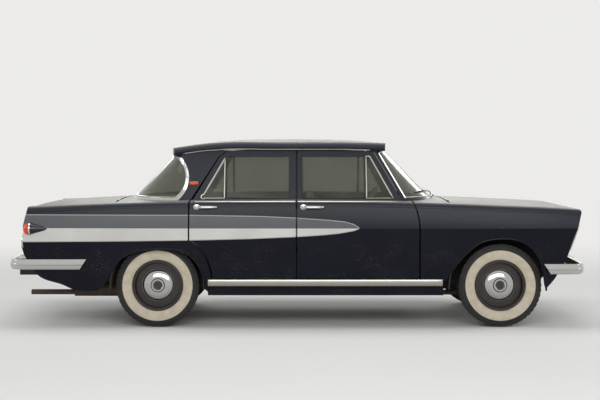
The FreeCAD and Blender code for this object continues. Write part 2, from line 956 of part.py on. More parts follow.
def make_rear_quarter(s):
    """The left rear quarter, with its roof pillar and the jamb behind the rear door."""
    zone = box(-half_length, rear_door_foot_x - door_gap + fine_step, deck_half_width, far_side, skin_bottom,
               cut_top)
    door = prism(rear_door_outline(door_gap), "xz", -far_side, far_side)
    sill_zone = box(sill_rear_x, 0, 0, far_side, 0, sill_top)
    lower = s["skin"].common(zone).cut([door, s["rear_arch"], sill_zone, s["room"]])
    pillar_zone = box(-half_length, frame_corner_x - door_gap, 0, far_side, cabin_low_z, pillar_top_z)
    behind = prism(rear_opening(rear_frame_width, 0, cut_top), "xz", 0, far_side)
    pillar = s["frame_wall"].common(pillar_zone).cut([door, behind, s["roof_body"]])
    jamb = prism(rear_door_outline(door_gap + jamb_thickness), "xz", post_inner_y, far_side).cut(door)
    jamb = jamb.common(box(-half_length, rear_door_foot_x - door_gap, 0, far_side, sill_top, cut_top))
    jamb = jamb.common(s["lower_8"]).cut(s["lower_post"]).cut(s["room"])
    return lower.fuse([pillar, jamb]).cut(s["tail_lamp"])


def make_side_frame(s):
    """The left sill with the hinge post and the middle post that stand on it."""
    sill = s["lower"].common(
        box(sill_rear_x, sill_front_x, floor_half_width, far_side, sill_bottom, sill_top))
    keel = box(sill_rear_x, sill_front_x, floor_half_width, floor_half_width + keel_width, floor_z,
               sill_bottom)
    hinge_post = box(front_post_x - post_half_width, front_post_x + post_half_width, post_inner_y, far_side,
                     sill_top, cut_top).common(s["lower_post"]).cut(s["lower_post_inner"])
    plate = box(front_post_x + post_half_width, front_post_x + post_half_width + jamb_thickness,
                post_inner_y, far_side, sill_top, cut_top).common(s["lower_8"]).cut(s["lower_post_inner"])
    middle = box(middle_x - post_half_width, middle_x + post_half_width, post_inner_y, far_side, sill_top,
                 cut_top).common(s["lower_post"]).cut(s["lower_post_inner"])
    upper = box(middle_x - upper_post_half_width, middle_x + upper_post_half_width, 0, far_side,
                cabin_low_z, cut_top).common(cabin(pillar_thickness))
    upper = upper.cut([cabin(post_outer), s["roof_body"]])
    neck = box(middle_x - upper_post_half_width, middle_x + upper_post_half_width, post_inner_y,
               cabin_mid_low_y - pillar_thickness, belt_height - post_inner, cabin_low_z + jamb_thickness)
    hinges = [hinge_bracket(x, z) for x in (front_hinge_x(), rear_hinge_x()) for z in hinge_heights]
    return sill.fuse([keel, hinge_post, plate, middle, upper, neck] + hinges)


def front_hinge_x():
    return front_door_x + hinge_reach


def rear_hinge_x():
    return middle_x - door_gap / 2 + hinge_reach


def tail_line(shift):
    """Points down the tail seen from the side, moved forward by shift."""
    top = scaled_points((tail_top_share,), tail_x, tail_rake, 0, belt_height)
    arc = scaled_points(reversed(tail_arc_shares[1:]), tail_x, tail_rake, 0, belt_height)
    low = scaled_points(tail_shares, tail_x, tail_rake, 0, belt_height)
    return [(x + shift, z) for x, z in top + arc + low]


def nose_line(shift):
    """Points down the nose seen from the side, moved back by shift."""
    top = scaled_points((nose_top_share, nose_arc_shares[1]), nose_x, -nose_rake, 0, belt_height)
    low = scaled_points(nose_shares, nose_x, -nose_rake, 0, belt_height)
    return [(x - shift, z) for x, z in top + low]


def band(line, depth):
    """A band of the given depth along a line of points seen from the side, right across the car."""
    first = line[0]
    points = [(first[0], cut_top)] + line + [(x + depth, z) for x, z in reversed(line)]
    points.append((first[0] + depth, cut_top))
    return prism(outline("xz", points[0], *points[1:]), "xz", -far_side, far_side)


def make_tail_panel(s):
    face = s["lower_8"].common(band(tail_line(tail_recess), panel_thickness))
    face = face.cut(box(-half_length, 0, -deck_half_width, deck_half_width, boot_lip_z, cut_top))
    face = face.common(box(-half_length, 0, -far_side, far_side, tail_panel_foot, cut_top))
    return face.cut(s["tail_lamps"]).cut(s["rear_irons"])


def make_nose_panel(s):
    face = s["lower_8"].common(band(nose_line(nose_recess), panel_thickness))
    lid_space = box(0, half_length, -bonnet_half_width, bonnet_half_width, grille_top, cut_top)
    face = face.cut(lid_space.cut(s["lower_lid"]))
    face = face.common(box(0, half_length, -far_side, far_side, nose_foot, cut_top))
    hole = box(0, half_length, -grille_half_width, grille_half_width, grille_bottom, grille_top)
    house = Part.makeCylinder(front_house_radius + panel_thickness, far_side,
                              Vector(front_axle_x, front_house_y, axle_z), Vector(0, 1, 0))
    return face.cut([hole, s["front_lamps"], s["front_irons"], both_sides(house)])


def make_grille():
    """Level bars in a frame with three uprights, set in the nose panel's opening."""
    line = nose_line(nose_recess)
    solid = band(line, panel_thickness).common(
        box(0, half_length, -grille_half_width, grille_half_width, grille_bottom, grille_top)
    )
    proud = band(line, panel_thickness + grille_frame)
    inside = box(0, half_length, grille_frame - grille_half_width, grille_half_width - grille_frame,
                 grille_bottom + grille_frame, grille_top - grille_frame)
    frame = proud.common(
        box(0, half_length, -grille_half_width, grille_half_width, grille_bottom, grille_top)
    ).cut(inside)
    pitch = (grille_top - grille_bottom) / grille_bar_count
    bars = []
    for index in range(1, grille_bar_count):
        z = grille_bottom + index * pitch
        bars.append(proud.common(
            box(0, half_length, -grille_half_width, grille_half_width, z - grille_bar / 2, z + grille_bar / 2)
        ))
    posts = []
    for share in grille_post_shares:
        y = share * grille_half_width
        posts.append(solid.common(
            box(0, half_length, y - grille_bar / 2, y + grille_bar / 2, grille_bottom, grille_top)
        ))
    return frame.fuse(bars + posts)


def make_tail_lamp():
    """The left tail lamp: a pointed pod on the end of the crease, with a rim and a domed lens."""
    lens = lamp_lens_depth
    face = outline(
        "xz",
        (0, 0),
        (0, tip_radius),
        (tail_lamp_length - lens - lamp_rim, tail_lamp_radius - lamp_rim / 4),
        (tail_lamp_length - lens - lamp_rim, tail_lamp_radius + lamp_rim / 4),
        (tail_lamp_length - lens, tail_lamp_radius + lamp_rim / 4),
        (tail_lamp_length - lens, tail_lamp_radius),
        [(tail_lamp_length - lens / 4, tail_lamp_radius * 0.7), (tail_lamp_length, tip_radius)],
        (tail_lamp_length, 0),
    )
    solid = face.revolve(Vector(0, 0, 0), Vector(1, 0, 0), 360)
    solid = solid.mirror(Vector(0, 0, 0), Vector(1, 0, 0))
    solid.translate(Vector(tail_lamp_x + tail_lamp_length, tail_lamp_y, tail_lamp_z))
    return solid


def make_front_lamp(y, z, radius, x_front, depth):
    """A round lamp with a bowl behind it, a proud rim and a domed lens, facing forward."""
    face = outline(
        "xz",
        (x_front - depth, 0),
        (x_front - depth, tip_radius),
        [(x_front - depth * 0.8, radius * 0.6), (x_front - depth * 0.35, radius * 0.92)],
        (x_front - depth * 0.35, radius + lamp_rim),
        [(x_front - depth * 0.22, radius + lamp_rim * 0.9), (x_front - depth * 0.16, radius)],
        [(x_front - depth * 0.05, radius * 0.6), (x_front, tip_radius)],
        (x_front, 0),
    )
    solid = face.revolve(Vector(0, 0, 0), Vector(1, 0, 0), 360)
    solid.translate(Vector(0, y, z))
    return solid


def make_front_lamps():
    """The left headlamp and the small round lamp under it."""
    head = make_front_lamp(headlamp_y, headlamp_z, headlamp_radius, nose_edge_x(headlamp_z) + lamp_proud,
                           headlamp_depth)
    small = make_front_lamp(headlamp_y, side_lamp_z, side_lamp_radius, nose_edge_x(side_lamp_z) - lamp_proud,
                            headlamp_depth)
    return head, small


def nose_edge_x(z):
    """Where the nose is at a height, seen from the side."""
    line = nose_line(0)
    for (x0, z0), (x1, z1) in zip(line, line[1:]):
        if z1 <= z <= z0:
            return x0 + (x1 - x0) * (z - z0) / (z1 - z0)
    return line[0][0]


def make_bonnet(s):
    """The bonnet, with two hinge arms below its rear corners."""
    zone = box(bonnet_hinge_x + lid_gap, half_length, -bonnet_half_width + lid_gap,
               bonnet_half_width - lid_gap, 0, cut_top)
    panel = s["skin"].common(zone)
    return panel.fuse([lid_hinge_arm(bonnet_hinge_x, bonnet_hinge_z, side, s["lower"])
                       for side in (-bonnet_hinge_y, bonnet_hinge_y)])


def lid_hinge_arm(x, z, y, body):
    """A barrel on a lid's hinge line and the strap that runs from it under the lid."""
    sign = 1 if x > 0 else -1
    barrel = Part.makeCylinder(lid_barrel_radius, lid_barrel_length, Vector(x, y - lid_barrel_length / 2, z),
                               Vector(0, 1, 0))
    low, high = sorted((x, x + sign * lid_strap_length))
    strap = box(low, high, y - lid_barrel_length / 2, y + lid_barrel_length / 2,
                z - lid_barrel_radius * 3, z)
    strap = strap.common(body)
    bore = Part.makeCylinder(hinge_pin_radius + hinge_clearance, lid_barrel_length,
                             Vector(x, y - lid_barrel_length / 2, z), Vector(0, 1, 0))
    return barrel.fuse(strap).cut(bore)


def lid_hinge_bracket(x, z, y, body):
    """The two ears on the body that hold a lid's hinge pin, with the pin."""
    sign = -1 if x > 0 else 1
    half = lid_barrel_length / 2 + hinge_play
    pin = Part.makeCylinder(hinge_pin_radius, 2 * (half + hinge_fork), Vector(x, y - half - hinge_fork, z),
                            Vector(0, 1, 0))
    parts = []
    for foot in (y - half - hinge_fork, y + half):
        ear = Part.makeCylinder(lid_barrel_radius, hinge_fork, Vector(x, foot, z), Vector(0, 1, 0))
        low, high = sorted((x, x + sign * lid_strap_length))
        arm = box(low, high, foot, foot + hinge_fork, z - lid_barrel_radius * 3, z).common(body)
        parts += [ear, arm]
    return pin.fuse(parts)


def make_boot_lid(s):
    """The boot lid, which wraps down over the tail, with two hinge arms."""
    low_x = boot_hinge_x - lid_gap
    half = deck_half_width - lid_gap
    top_zone = box(-half_length, low_x, -half, half, 0, cut_top)
    front_of_tail = prism(
        outline("xz", (0, cut_top), *([(tail_line(tail_recess)[0][0], cut_top)] + tail_line(tail_recess)
                                      + [(0, tail_line(tail_recess)[-1][1])])),
        "xz", -far_side, far_side)
    top = s["skin"].common(top_zone).common(front_of_tail)
    back = s["lower"].common(band(tail_line(tail_recess), panel_thickness))
    back = back.common(box(-half_length, low_x, -half, half, boot_lip_z + lid_gap, cut_top))
    lid = top.fuse(back)
    return lid.fuse([lid_hinge_arm(boot_hinge_x, boot_hinge_z, side, s["lower"])
                     for side in (-boot_hinge_y, boot_hinge_y)])


def make_scuttle(s):
    """The panel under the windscreen, with the ears of the bonnet's hinges."""
    ahead = s["skin"].common(
        box(front_door_shoulder_x + door_gap, bonnet_hinge_x - lid_gap, -bonnet_half_width, bonnet_half_width,
            0, cut_top))
    behind = s["skin"].common(
        box(front_frame_low_x + lid_gap, front_door_shoulder_x + door_gap, -far_side, far_side, belt_height / 2,
            cut_top)).common(s["well_outer"])
    ears = [lid_hinge_bracket(bonnet_hinge_x, bonnet_hinge_z, side, s["lower"])
            for side in (-bonnet_hinge_y, bonnet_hinge_y)]
    door = prism(front_door_outline(door_gap), "xz", post_inner_y, far_side)
    return ahead.fuse([behind] + ears).cut(both_sides(door))


def make_rear_deck(s):
    """The panel behind the rear window and the shelf inside it, with the ears of the boot's hinges."""
    deck = s["skin"].common(
        box(boot_hinge_x + lid_gap, shelf_front_x, -deck_half_width, deck_half_width, 0, cut_top))
    foot = box(boot_hinge_x + lid_gap, shelf_front_x, -far_side, far_side, cabin_low_z - fine_step, cut_top)
    behind = prism(rear_opening(rear_frame_width, 0, cut_top), "xz", -far_side, far_side)
    deck = deck.cut(foot.common(s["frame_wall"]).cut(behind))
    ears = [lid_hinge_bracket(boot_hinge_x, boot_hinge_z, side, s["lower"])
            for side in (-boot_hinge_y, boot_hinge_y)]
    return deck.fuse(ears)


def make_wheelhouses(s):
    """The left front and rear inner arches, each a round shell with a flat inner wall."""
    front = arch_shell(front_axle_x, front_house_radius, front_house_y)
    rear = arch_shell(rear_axle_x, rear_house_radius, rear_house_y)
    slot = Part.makeCylinder(axle_slot_radius, overrun, Vector(rear_axle_x, rear_house_y - overrun / 2, axle_z),
                             Vector(0, 1, 0))
    drop = box(rear_axle_x - axle_slot_radius, rear_axle_x + axle_slot_radius, rear_house_y - overrun / 2,
               rear_house_y + overrun / 2, 0, axle_z)
    arm_slot = box(front_axle_x - cross_half_length - door_gap / 2, front_axle_x + cross_half_length + door_gap / 2,
                   front_house_y - fine_step, front_house_y + panel_thickness + fine_step, 0,
                   arm_high_z + arm_thickness)
    return [front.common(s["lower_8"]).cut(arm_slot), rear.cut([slot, drop]).common(s["lower_8"])]


def arch_shell(x, radius, inner_y):
    def half_drum(r, y):
        drum = Part.makeCylinder(r, far_side, Vector(x, y, axle_z), Vector(0, 1, 0))
        skirt = box(x - r, x + r, y, y + far_side, arch_foot_z, axle_z)
        return drum.fuse(skirt).common(box(x - r, x + r, y, y + far_side, arch_foot_z, cut_top))
    return half_drum(radius + panel_thickness, inner_y).cut(half_drum(radius, inner_y + panel_thickness))


def make_floor(s):
    """The floor with its tunnel, its firewall, the step up to the boot floor and the frame rails."""
    front_end = firewall_x + floor_thickness
    plate = box(kick_x, front_end, -floor_half_width, floor_half_width, floor_z, floor_z + floor_thickness)
    wall = s["lower_8"].common(
        box(firewall_x, front_end, -post_inner_y, post_inner_y, floor_z, cut_top))
    kick = box(kick_x - floor_thickness, kick_x, -floor_half_width, floor_half_width, floor_z,
               boot_floor_z + floor_thickness)
    boot = s["lower_8"].common(
        box(-half_length, kick_x, -far_side, far_side, boot_floor_z, boot_floor_z + floor_thickness))
    jamb_space = prism(rear_door_outline(door_gap + jamb_thickness), "xz", post_inner_y, far_side)
    boot = boot.common(s["ahead_of_tail_panel"]).cut([s["rear_house_space"], both_sides(jamb_space)])
    floor = plate.fuse(wall).fuse(kick).fuse(tunnel(0)).cut(tunnel(floor_thickness)).fuse(boot)
    for side in (-1, 1):
        front_y = side * rail_y - rail_width / 2
        rear_y = side * rear_rail_y - rail_width / 2
        floor = floor.fuse(box(firewall_x, front_rail_end, front_y, front_y + rail_width, rail_bottom,
                               rail_bottom + rail_height))
        floor = floor.fuse(box(rear_rail_end, kick_x, rear_y, rear_y + rail_width, rail_bottom, boot_floor_z))
    return floor.cut(box(rear_axle_x - axle_slot_radius, rear_axle_x + axle_slot_radius, -far_side, far_side,
                         0, axle_z + axle_radius + door_gap))


def tunnel(inset):
    """The round tunnel over the gearbox and shaft, as a cone that narrows to the rear."""
    length = firewall_x + floor_thickness - kick_x + floor_thickness
    cone = Part.makeCone(tunnel_rear_radius - inset, tunnel_front_radius - inset, length,
                         Vector(kick_x - floor_thickness, 0, floor_z), Vector(1, 0, 0))
    low = floor_z if inset == 0 else 0
    return cone.common(box(-half_length, half_length, -far_side, far_side, low, cut_top))


def make_engine():
    """The engine as one plain block, with its gearbox and its two feet on the frame rails."""
    block = box(engine_rear_x, engine_front_x, -engine_half_width, engine_half_width, engine_bottom, engine_top)
    gearbox = Part.makeCylinder(gearbox_radius, engine_rear_x - gearbox_rear_x,
                                Vector(gearbox_rear_x, 0, shaft_z), Vector(1, 0, 0))
    foot_x = (engine_rear_x + engine_front_x) / 2
    feet = box(foot_x - rail_width, foot_x + rail_width, rail_width / 2 - rail_y, rail_y - rail_width / 2,
               rail_bottom + rail_height / 4, rail_bottom + rail_height * 0.75)
    beam = box(front_axle_x - cross_half_length - door_gap, front_axle_x + cross_half_length + door_gap, -far_side,
               far_side, 0, rail_bottom + door_gap)
    return block.fuse([gearbox, feet]).cut(beam)


def make_shaft():
    return Part.makeCylinder(shaft_radius, gearbox_rear_x - diff_front_x, Vector(diff_front_x, 0, shaft_z),
                             Vector(1, 0, 0))


def make_radiator():
    x = front_rail_end - radiator_depth
    core = box(x, front_rail_end, -radiator_half_width, radiator_half_width, radiator_bottom, radiator_top)
    feet = box(x, front_rail_end, -rail_y, rail_y, rail_bottom + rail_height, radiator_bottom)
    return core.fuse(feet)


def make_dashboard(s):
    """The dashboard under the scuttle, with the steering column's tube."""
    face = outline(
        "xz",
        (dash_rear_x, dash_bottom),
        (firewall_x, dash_bottom),
        (firewall_x, cut_top),
        (dash_rear_x, cut_top),
        (dash_rear_x, dash_top),
        [(dash_rear_x - dash_lip, (dash_top + dash_bottom) / 2), (dash_rear_x, dash_bottom)],
    )
    return prism(face, "xz", -dash_half_width, dash_half_width).common(s["lower_8"])


def seat_solid(points, half_width_here):
    """A bench with its side view given by points, notched for the tunnel."""
    face = outline("xz", points[0], *points[1:])
    return prism(face, "xz", -half_width_here, half_width_here).cut(tunnel(-fine_step))


def make_front_seat():
    """The front bench: a base, a cushion and a raked back."""
    return seat_solid((
        (seat_front_x, floor_z + floor_thickness),
        (seat_front_x + seat_lip, seat_top - seat_lip),
        [(seat_front_x + seat_lip / 2, seat_top - seat_lip / 4), (seat_front_x - seat_lip, seat_top)],
        (seat_back_x + seat_back_depth, seat_top - seat_lip / 2),
        (seat_back_top_x + seat_back_depth * 0.6, seat_back_top - seat_lip / 2),
        [(seat_back_top_x + seat_back_depth * 0.3, seat_back_top),
         (seat_back_top_x, seat_back_top - seat_lip / 2)],
        (seat_back_x, seat_top / 2 + floor_z / 2),
        (seat_back_x, floor_z + floor_thickness),
    ), seat_half_width)


def make_rear_seat():
    """The rear bench, which stands on the floor and leans on the step up to the boot."""
    return seat_solid((
        (rear_seat_front_x, floor_z + floor_thickness),
        (rear_seat_front_x + seat_lip, seat_top - seat_lip),
        [(rear_seat_front_x + seat_lip / 2, seat_top - seat_lip / 4), (rear_seat_front_x - seat_lip, seat_top)],
        (rear_seat_back_x + seat_back_depth, seat_top - seat_lip / 2),
        (rear_seat_top_x + seat_back_depth * 0.6, rear_seat_top),
        (rear_seat_top_x, rear_seat_top),
        (rear_seat_back_x, boot_floor_z + floor_thickness),
        (kick_x, boot_floor_z + floor_thickness),
        (kick_x, floor_z + floor_thickness),
    ), rear_seat_half_width)


def tube_along(points, bend, radius):
    """A round bar along straight runs joined by arcs of one bend radius."""
    path = []
    here = points[0]
    for before, corner, after in zip(points, points[1:], points[2:]):
        one = (before - corner).normalize()
        two = (after - corner).normalize()
        half = one.getAngle(two) / 2
        reach = bend / math.tan(half)
        start = corner + one * reach
        end = corner + two * reach
        middle = corner + (one + two).normalize() * (bend / math.sin(half) - bend)
        path.append(Part.LineSegment(here, start).toShape())
        path.append(Part.Arc(start, middle, end).toShape())
        here = end
    path.append(Part.LineSegment(here, points[-1]).toShape())
    wire = Part.Wire(path)
    ring = Part.Wire(Part.Circle(points[0], points[1] - points[0], radius).toShape())
    return wire.makePipeShell([ring], True, False)


def make_exhaust():
    """The exhaust pipe, which rises over the rear axle to a silencer and a tail pipe."""
    y = -exhaust_y
    front = [
        Vector(engine_rear_x, y, exhaust_low_z),
        Vector(exhaust_rise_x, y, exhaust_low_z),
        Vector(rear_axle_x + exhaust_arch, y, exhaust_high_z),
        Vector(rear_axle_x - exhaust_arch, y, exhaust_high_z),
        Vector(silencer_front_x, -silencer_y, silencer_z),
    ]
    pipe = tube_along(front, exhaust_bend, exhaust_radius)
    silencer = Part.makeCylinder(silencer_radius, silencer_front_x - silencer_rear_x,
                                 Vector(silencer_rear_x, -silencer_y, silencer_z), Vector(1, 0, 0))
    tail = Part.makeCylinder(exhaust_radius, silencer_rear_x - tailpipe_end_x,
                             Vector(tailpipe_end_x, -silencer_y, tailpipe_z), Vector(1, 0, 0))
    strap_x = (silencer_front_x + silencer_rear_x) / 2
    strap = box(strap_x - rail_width / 4, strap_x + rail_width / 4, -silencer_y - exhaust_radius,
                -silencer_y + exhaust_radius, silencer_z, rail_bottom)
    hanger = box(middle_x - rail_width / 4, middle_x + rail_width / 4, y - exhaust_radius, y + exhaust_radius,
                 exhaust_low_z, floor_z)
    return pipe.fuse([silencer, tail, strap, hanger])


def make_fuel_tank():
    return box(tank_rear_x, tank_front_x, -tank_right_y, tank_left_y, tank_bottom, boot_floor_z)


def bumper_path(side_x, corner_x, middle_far_x, side_y, r):
    """The plan path of a bumper: two side arms, two round corners and a bowed middle."""
    sign = 1 if corner_x > 0 else -1
    soft = r * (1 - math.sqrt(0.5))
    edges = [
        Part.LineSegment(Vector(side_x, side_y, 0), Vector(corner_x - sign * r, side_y, 0)).toShape(),
        Part.Arc(Vector(corner_x - sign * r, side_y, 0), Vector(corner_x - sign * soft, side_y - soft, 0),
                 Vector(corner_x, side_y - r, 0)).toShape(),
        Part.Arc(Vector(corner_x, side_y - r, 0), Vector(middle_far_x, 0, 0),
                 Vector(corner_x, r - side_y, 0)).toShape(),
        Part.Arc(Vector(corner_x, r - side_y, 0), Vector(corner_x - sign * soft, soft - side_y, 0),
                 Vector(corner_x - sign * r, -side_y, 0)).toShape(),
        Part.LineSegment(Vector(corner_x - sign * r, -side_y, 0), Vector(side_x, -side_y, 0)).toShape(),
    ]
    return Part.Wire(edges)


def make_bumper(side_x, corner_x, end_x, bottom):
    """A bumper blade with a ridge along it, swept round its plan path. Its outer face reaches end_x."""
    sign = 1 if corner_x > 0 else -1
    path = bumper_path(side_x, corner_x - sign * bumper_depth, end_x - sign * bumper_depth,
                       half_width - bumper_depth, bumper_corner)
    start_y = half_width - bumper_depth
    points = [Vector(side_x, start_y + n * bumper_depth, bottom + h * bumper_height)
              for n, h in bumper_section_shares]
    ring = Part.makePolygon(points + [points[0]])
    blade = path.makePipeShell([ring], True, False)
    slant = outline(
        "xz",
        (side_x - sign * overrun, bottom - fine_step),
        (side_x + sign * bumper_slant, bottom - fine_step),
        (side_x - sign * fine_step, bottom + bumper_height + fine_step),
        (side_x - sign * overrun, bottom + bumper_height + fine_step),
    )
    return blade.cut(prism(slant, "xz", -far_side, far_side))


def front_irons():
    irons = []
    for side in (-1, 1):
        irons.append(box(front_rail_end, front_bumper_back(), side * rail_y - rail_width / 4,
                         side * rail_y + rail_width / 4, rail_bottom + rail_height / 2,
                         front_bumper_z + bumper_height / 2))
    return irons


def rear_irons():
    irons = []
    for side in (-1, 1):
        low_y = side * rear_rail_y - rail_width / 4
        high_y = side * rear_rail_y + rail_width / 4
        bar = box(rear_bumper_back(), rear_rail_end, low_y, high_y, rail_bottom + rail_height / 2,
                  boot_floor_z - fine_step)
        upright = box(rear_bumper_back(), rear_bumper_back() + rail_width, low_y, high_y,
                      rail_bottom + rail_height / 2, rear_bumper_z + bumper_height / 2)
        irons.append(bar.fuse(upright))
    return irons


def front_bumper_back():
    return half_length - bumper_depth * 1.3


def rear_bumper_back():
    return bumper_depth * 1.4 - half_length


def make_front_suspension():
    """The front crossmember with its arms, dampers and the two pins that the wheels steer on."""
    beam = box(front_axle_x - cross_half_length, front_axle_x + cross_half_length, -cross_half_width,
               cross_half_width, arm_low_z - arm_thickness / 2, rail_bottom)
    parts = []
    for side in (-1, 1):
        def arm(z, inner_y):
            low, high = sorted((side * inner_y, side * kingpin_y))
            bar = box(front_axle_x - arm_half_width, front_axle_x + arm_half_width, low, high,
                      z - arm_thickness / 2, z + arm_thickness / 2)
            end = Part.makeCylinder(arm_half_width, arm_thickness,
                                    Vector(front_axle_x, side * kingpin_y, z - arm_thickness / 2))
            return bar.fuse(end)
        pin = Part.makeCylinder(kingpin_radius, arm_high_z - arm_low_z,
                                Vector(front_axle_x, side * kingpin_y, arm_low_z))
        damper = Part.makeCylinder(damper_radius, arm_high_z - arm_low_z,
                                   Vector(front_axle_x, side * damper_y, arm_low_z))
        parts += [arm(arm_low_z, cross_half_width - arm_thickness), arm(arm_high_z, front_house_y)]
        parts += [pin, damper]
    return beam.fuse(parts)


def make_knuckle():
    """The left steering knuckle: an upright on the kingpin, a brake plate and the stub axle."""
    low = arm_low_z + arm_thickness / 2 + hinge_play
    high = arm_high_z - arm_thickness / 2 - hinge_play
    upright = Part.makeCylinder(kingpin_radius * 2, high - low, Vector(front_axle_x, kingpin_y, low))
    bore = Part.makeCylinder(kingpin_radius + hinge_clearance, high - low,
                             Vector(front_axle_x, kingpin_y, low))
    plate = Part.makeCylinder(drum_radius, brake_plate, Vector(front_axle_x, brake_y, axle_z),
                              Vector(0, 1, 0))
    boss = Part.makeCylinder(stub_radius * 2, wheel_seat_y - kingpin_y, Vector(front_axle_x, kingpin_y, axle_z),
                             Vector(0, 1, 0))
    stub = Part.makeCylinder(stub_radius, stub_end_y - kingpin_y, Vector(front_axle_x, kingpin_y, axle_z),
                             Vector(0, 1, 0))
    return upright.fuse([plate, boss, stub]).cut(bore)


def make_rear_axle():
    """The rear axle with its differential, brake plates, stub ends and two leaf springs."""
    tube = Part.makeCylinder(axle_radius, 2 * wheel_seat_y, Vector(rear_axle_x, -wheel_seat_y, axle_z),
                             Vector(0, 1, 0))
    stub = Part.makeCylinder(stub_radius, 2 * stub_end_y, Vector(rear_axle_x, -stub_end_y, axle_z),
                             Vector(0, 1, 0))
    ball = Part.makeSphere(diff_radius, Vector(rear_axle_x, 0, axle_z))
    snout = Part.makeCone(diff_radius * 0.7, shaft_radius * 1.5, diff_front_x - rear_axle_x,
                          Vector(rear_axle_x, 0, axle_z), Vector(1, 0, 0))
    parts = [stub, ball, snout]
    for side in (-1, 1):
        low = brake_y if side > 0 else -brake_y - brake_plate
        parts.append(Part.makeCylinder(drum_radius, brake_plate, Vector(rear_axle_x, low, axle_z),
                                       Vector(0, 1, 0)))
        parts.append(leaf_spring(side * spring_y))
    return tube.fuse(parts)


def leaf_spring(y):
    """One leaf spring: stacked arcs that shorten, hung from the floor in front and the rail behind."""
    parts = []
    for index in range(leaf_count):
        reach = spring_reach * (1 - index / (leaf_count + 1))
        drop = axle_z - axle_radius - index * leaf_thickness
        rise = spring_rise * (reach / spring_reach) ** 2
        face = outline(
            "xz",
            (rear_axle_x - reach, drop + rise),
            [(rear_axle_x, drop), (rear_axle_x + reach, drop + rise)],
            (rear_axle_x + reach, drop + rise - leaf_thickness),
            [(rear_axle_x, drop - leaf_thickness), (rear_axle_x - reach, drop + rise - leaf_thickness)],
        )
        parts.append(prism(face, "xz", y - leaf_width / 2, y + leaf_width / 2))
    seat = box(rear_axle_x - leaf_width, rear_axle_x + leaf_width, y - leaf_width / 2, y + leaf_width / 2,
               axle_z - axle_radius - leaf_thickness, axle_z)
    end_z = axle_z - axle_radius + spring_rise
    hangers = []
    for x in (rear_axle_x + spring_reach - leaf_width, rear_axle_x - spring_reach):
        hangers.append(box(x, x + leaf_width, y - leaf_width / 2, y + leaf_width / 2,
                           end_z - leaf_thickness * 2, boot_floor_z))
    return parts[0].fuse(parts[1:] + [seat] + hangers)


def wheel_profile():
    """Half of a wheel's section: rim, dished disc, hub and domed cap. Points are (outward, radius)."""
    rim = rim_diameter / 2
    seat = rim - rim_flange
    half = rim_width / 2
    return outline(
        "xz",
        (wheel_seat_offset(), hub_bore),
        (wheel_seat_offset(), hub_radius),
        (disc_offset - disc_thickness, hub_radius * 1.2),
        (disc_offset - disc_thickness, seat - rim_flange),
        (-half, seat - disc_thickness),
        (-half, rim),
        (disc_thickness - half, rim),
        (disc_thickness - half, seat),
        (half - disc_thickness, seat),
        (half - disc_thickness, rim),
        (half, rim),
        (half, seat - disc_thickness),
        (disc_offset, seat - rim_flange),
        (disc_offset, cap_radius),
        (disc_offset + cap_depth * 0.3, cap_radius * 0.97),
        [(disc_offset + cap_depth * 0.74, cap_radius * 0.72),
         (disc_offset + cap_depth * 0.9, cap_radius * 0.42)],
        (disc_offset + cap_depth * 1.1, cap_radius * 0.39),
        (disc_offset + cap_depth * 1.1, cap_radius * 0.31),
        (disc_offset + cap_depth * 0.95, cap_radius * 0.27),
        (disc_offset + cap_depth * 0.95, 0),
        (stub_end_y - wheel_y + hinge_play, 0),
        (stub_end_y - wheel_y + hinge_play, hub_bore),
    )


def wheel_seat_offset():
    return wheel_seat_y - wheel_y + hinge_play


def turned_across(face, x, side):
    """A face of (outward, radius) points turned about an axle, for the wheel on one side of the car."""
    solid = face.revolve(Vector(0, 0, 0), Vector(1, 0, 0), 360)
    solid.rotate(Vector(0, 0, 0), Vector(0, 0, 1), side * 90)
    solid.translate(Vector(x, side * wheel_y, axle_z))
    return solid


def tyre_profile():
    """A tyre's section, with a flat tread and round shoulders. Points are (outward, radius)."""
    radius = tyre_diameter / 2
    half = tyre_width / 2
    bead = rim_diameter / 2 - rim_flange + hinge_play
    inner = rim_width / 2 - disc_thickness - hinge_play
    return outline(
        "xz",
        (-inner, bead),
        (-inner, rim_diameter / 2 + fine_step),
        [(-half, (rim_diameter / 2 + radius) / 2), (-tread_half_width, radius - tread_drop)],
        [(0, radius), (tread_half_width, radius - tread_drop)],
        [(half, (rim_diameter / 2 + radius) / 2), (inner, rim_diameter / 2 + fine_step)],
        (inner, bead),
    )


def make_steering_wheel():
    """The steering wheel and its column, which runs down to the floor behind the firewall."""
    ring = Part.makeTorus(steering_radius, steering_rim)
    boss = Part.makeCylinder(steering_boss, steering_boss * 2, Vector(0, 0, -steering_boss * 2))
    spokes = []
    for turn in range(steering_spokes):
        spoke = Part.makeCylinder(steering_rim * 0.7, steering_radius, Vector(0, 0, 0), Vector(1, 0, 0))
        spoke.rotate(Vector(0, 0, 0), Vector(0, 0, 1), 90 + turn * 360 / steering_spokes)
        spokes.append(spoke)
    column = Part.makeCylinder(column_radius, column_length, Vector(0, 0, -column_length))
    wheel = ring.fuse([boss, column] + spokes)
    wheel.rotate(Vector(0, 0, 0), Vector(0, 1, 0), -column_angle)
    wheel.translate(Vector(steering_x, steering_y, steering_z))
    return wheel


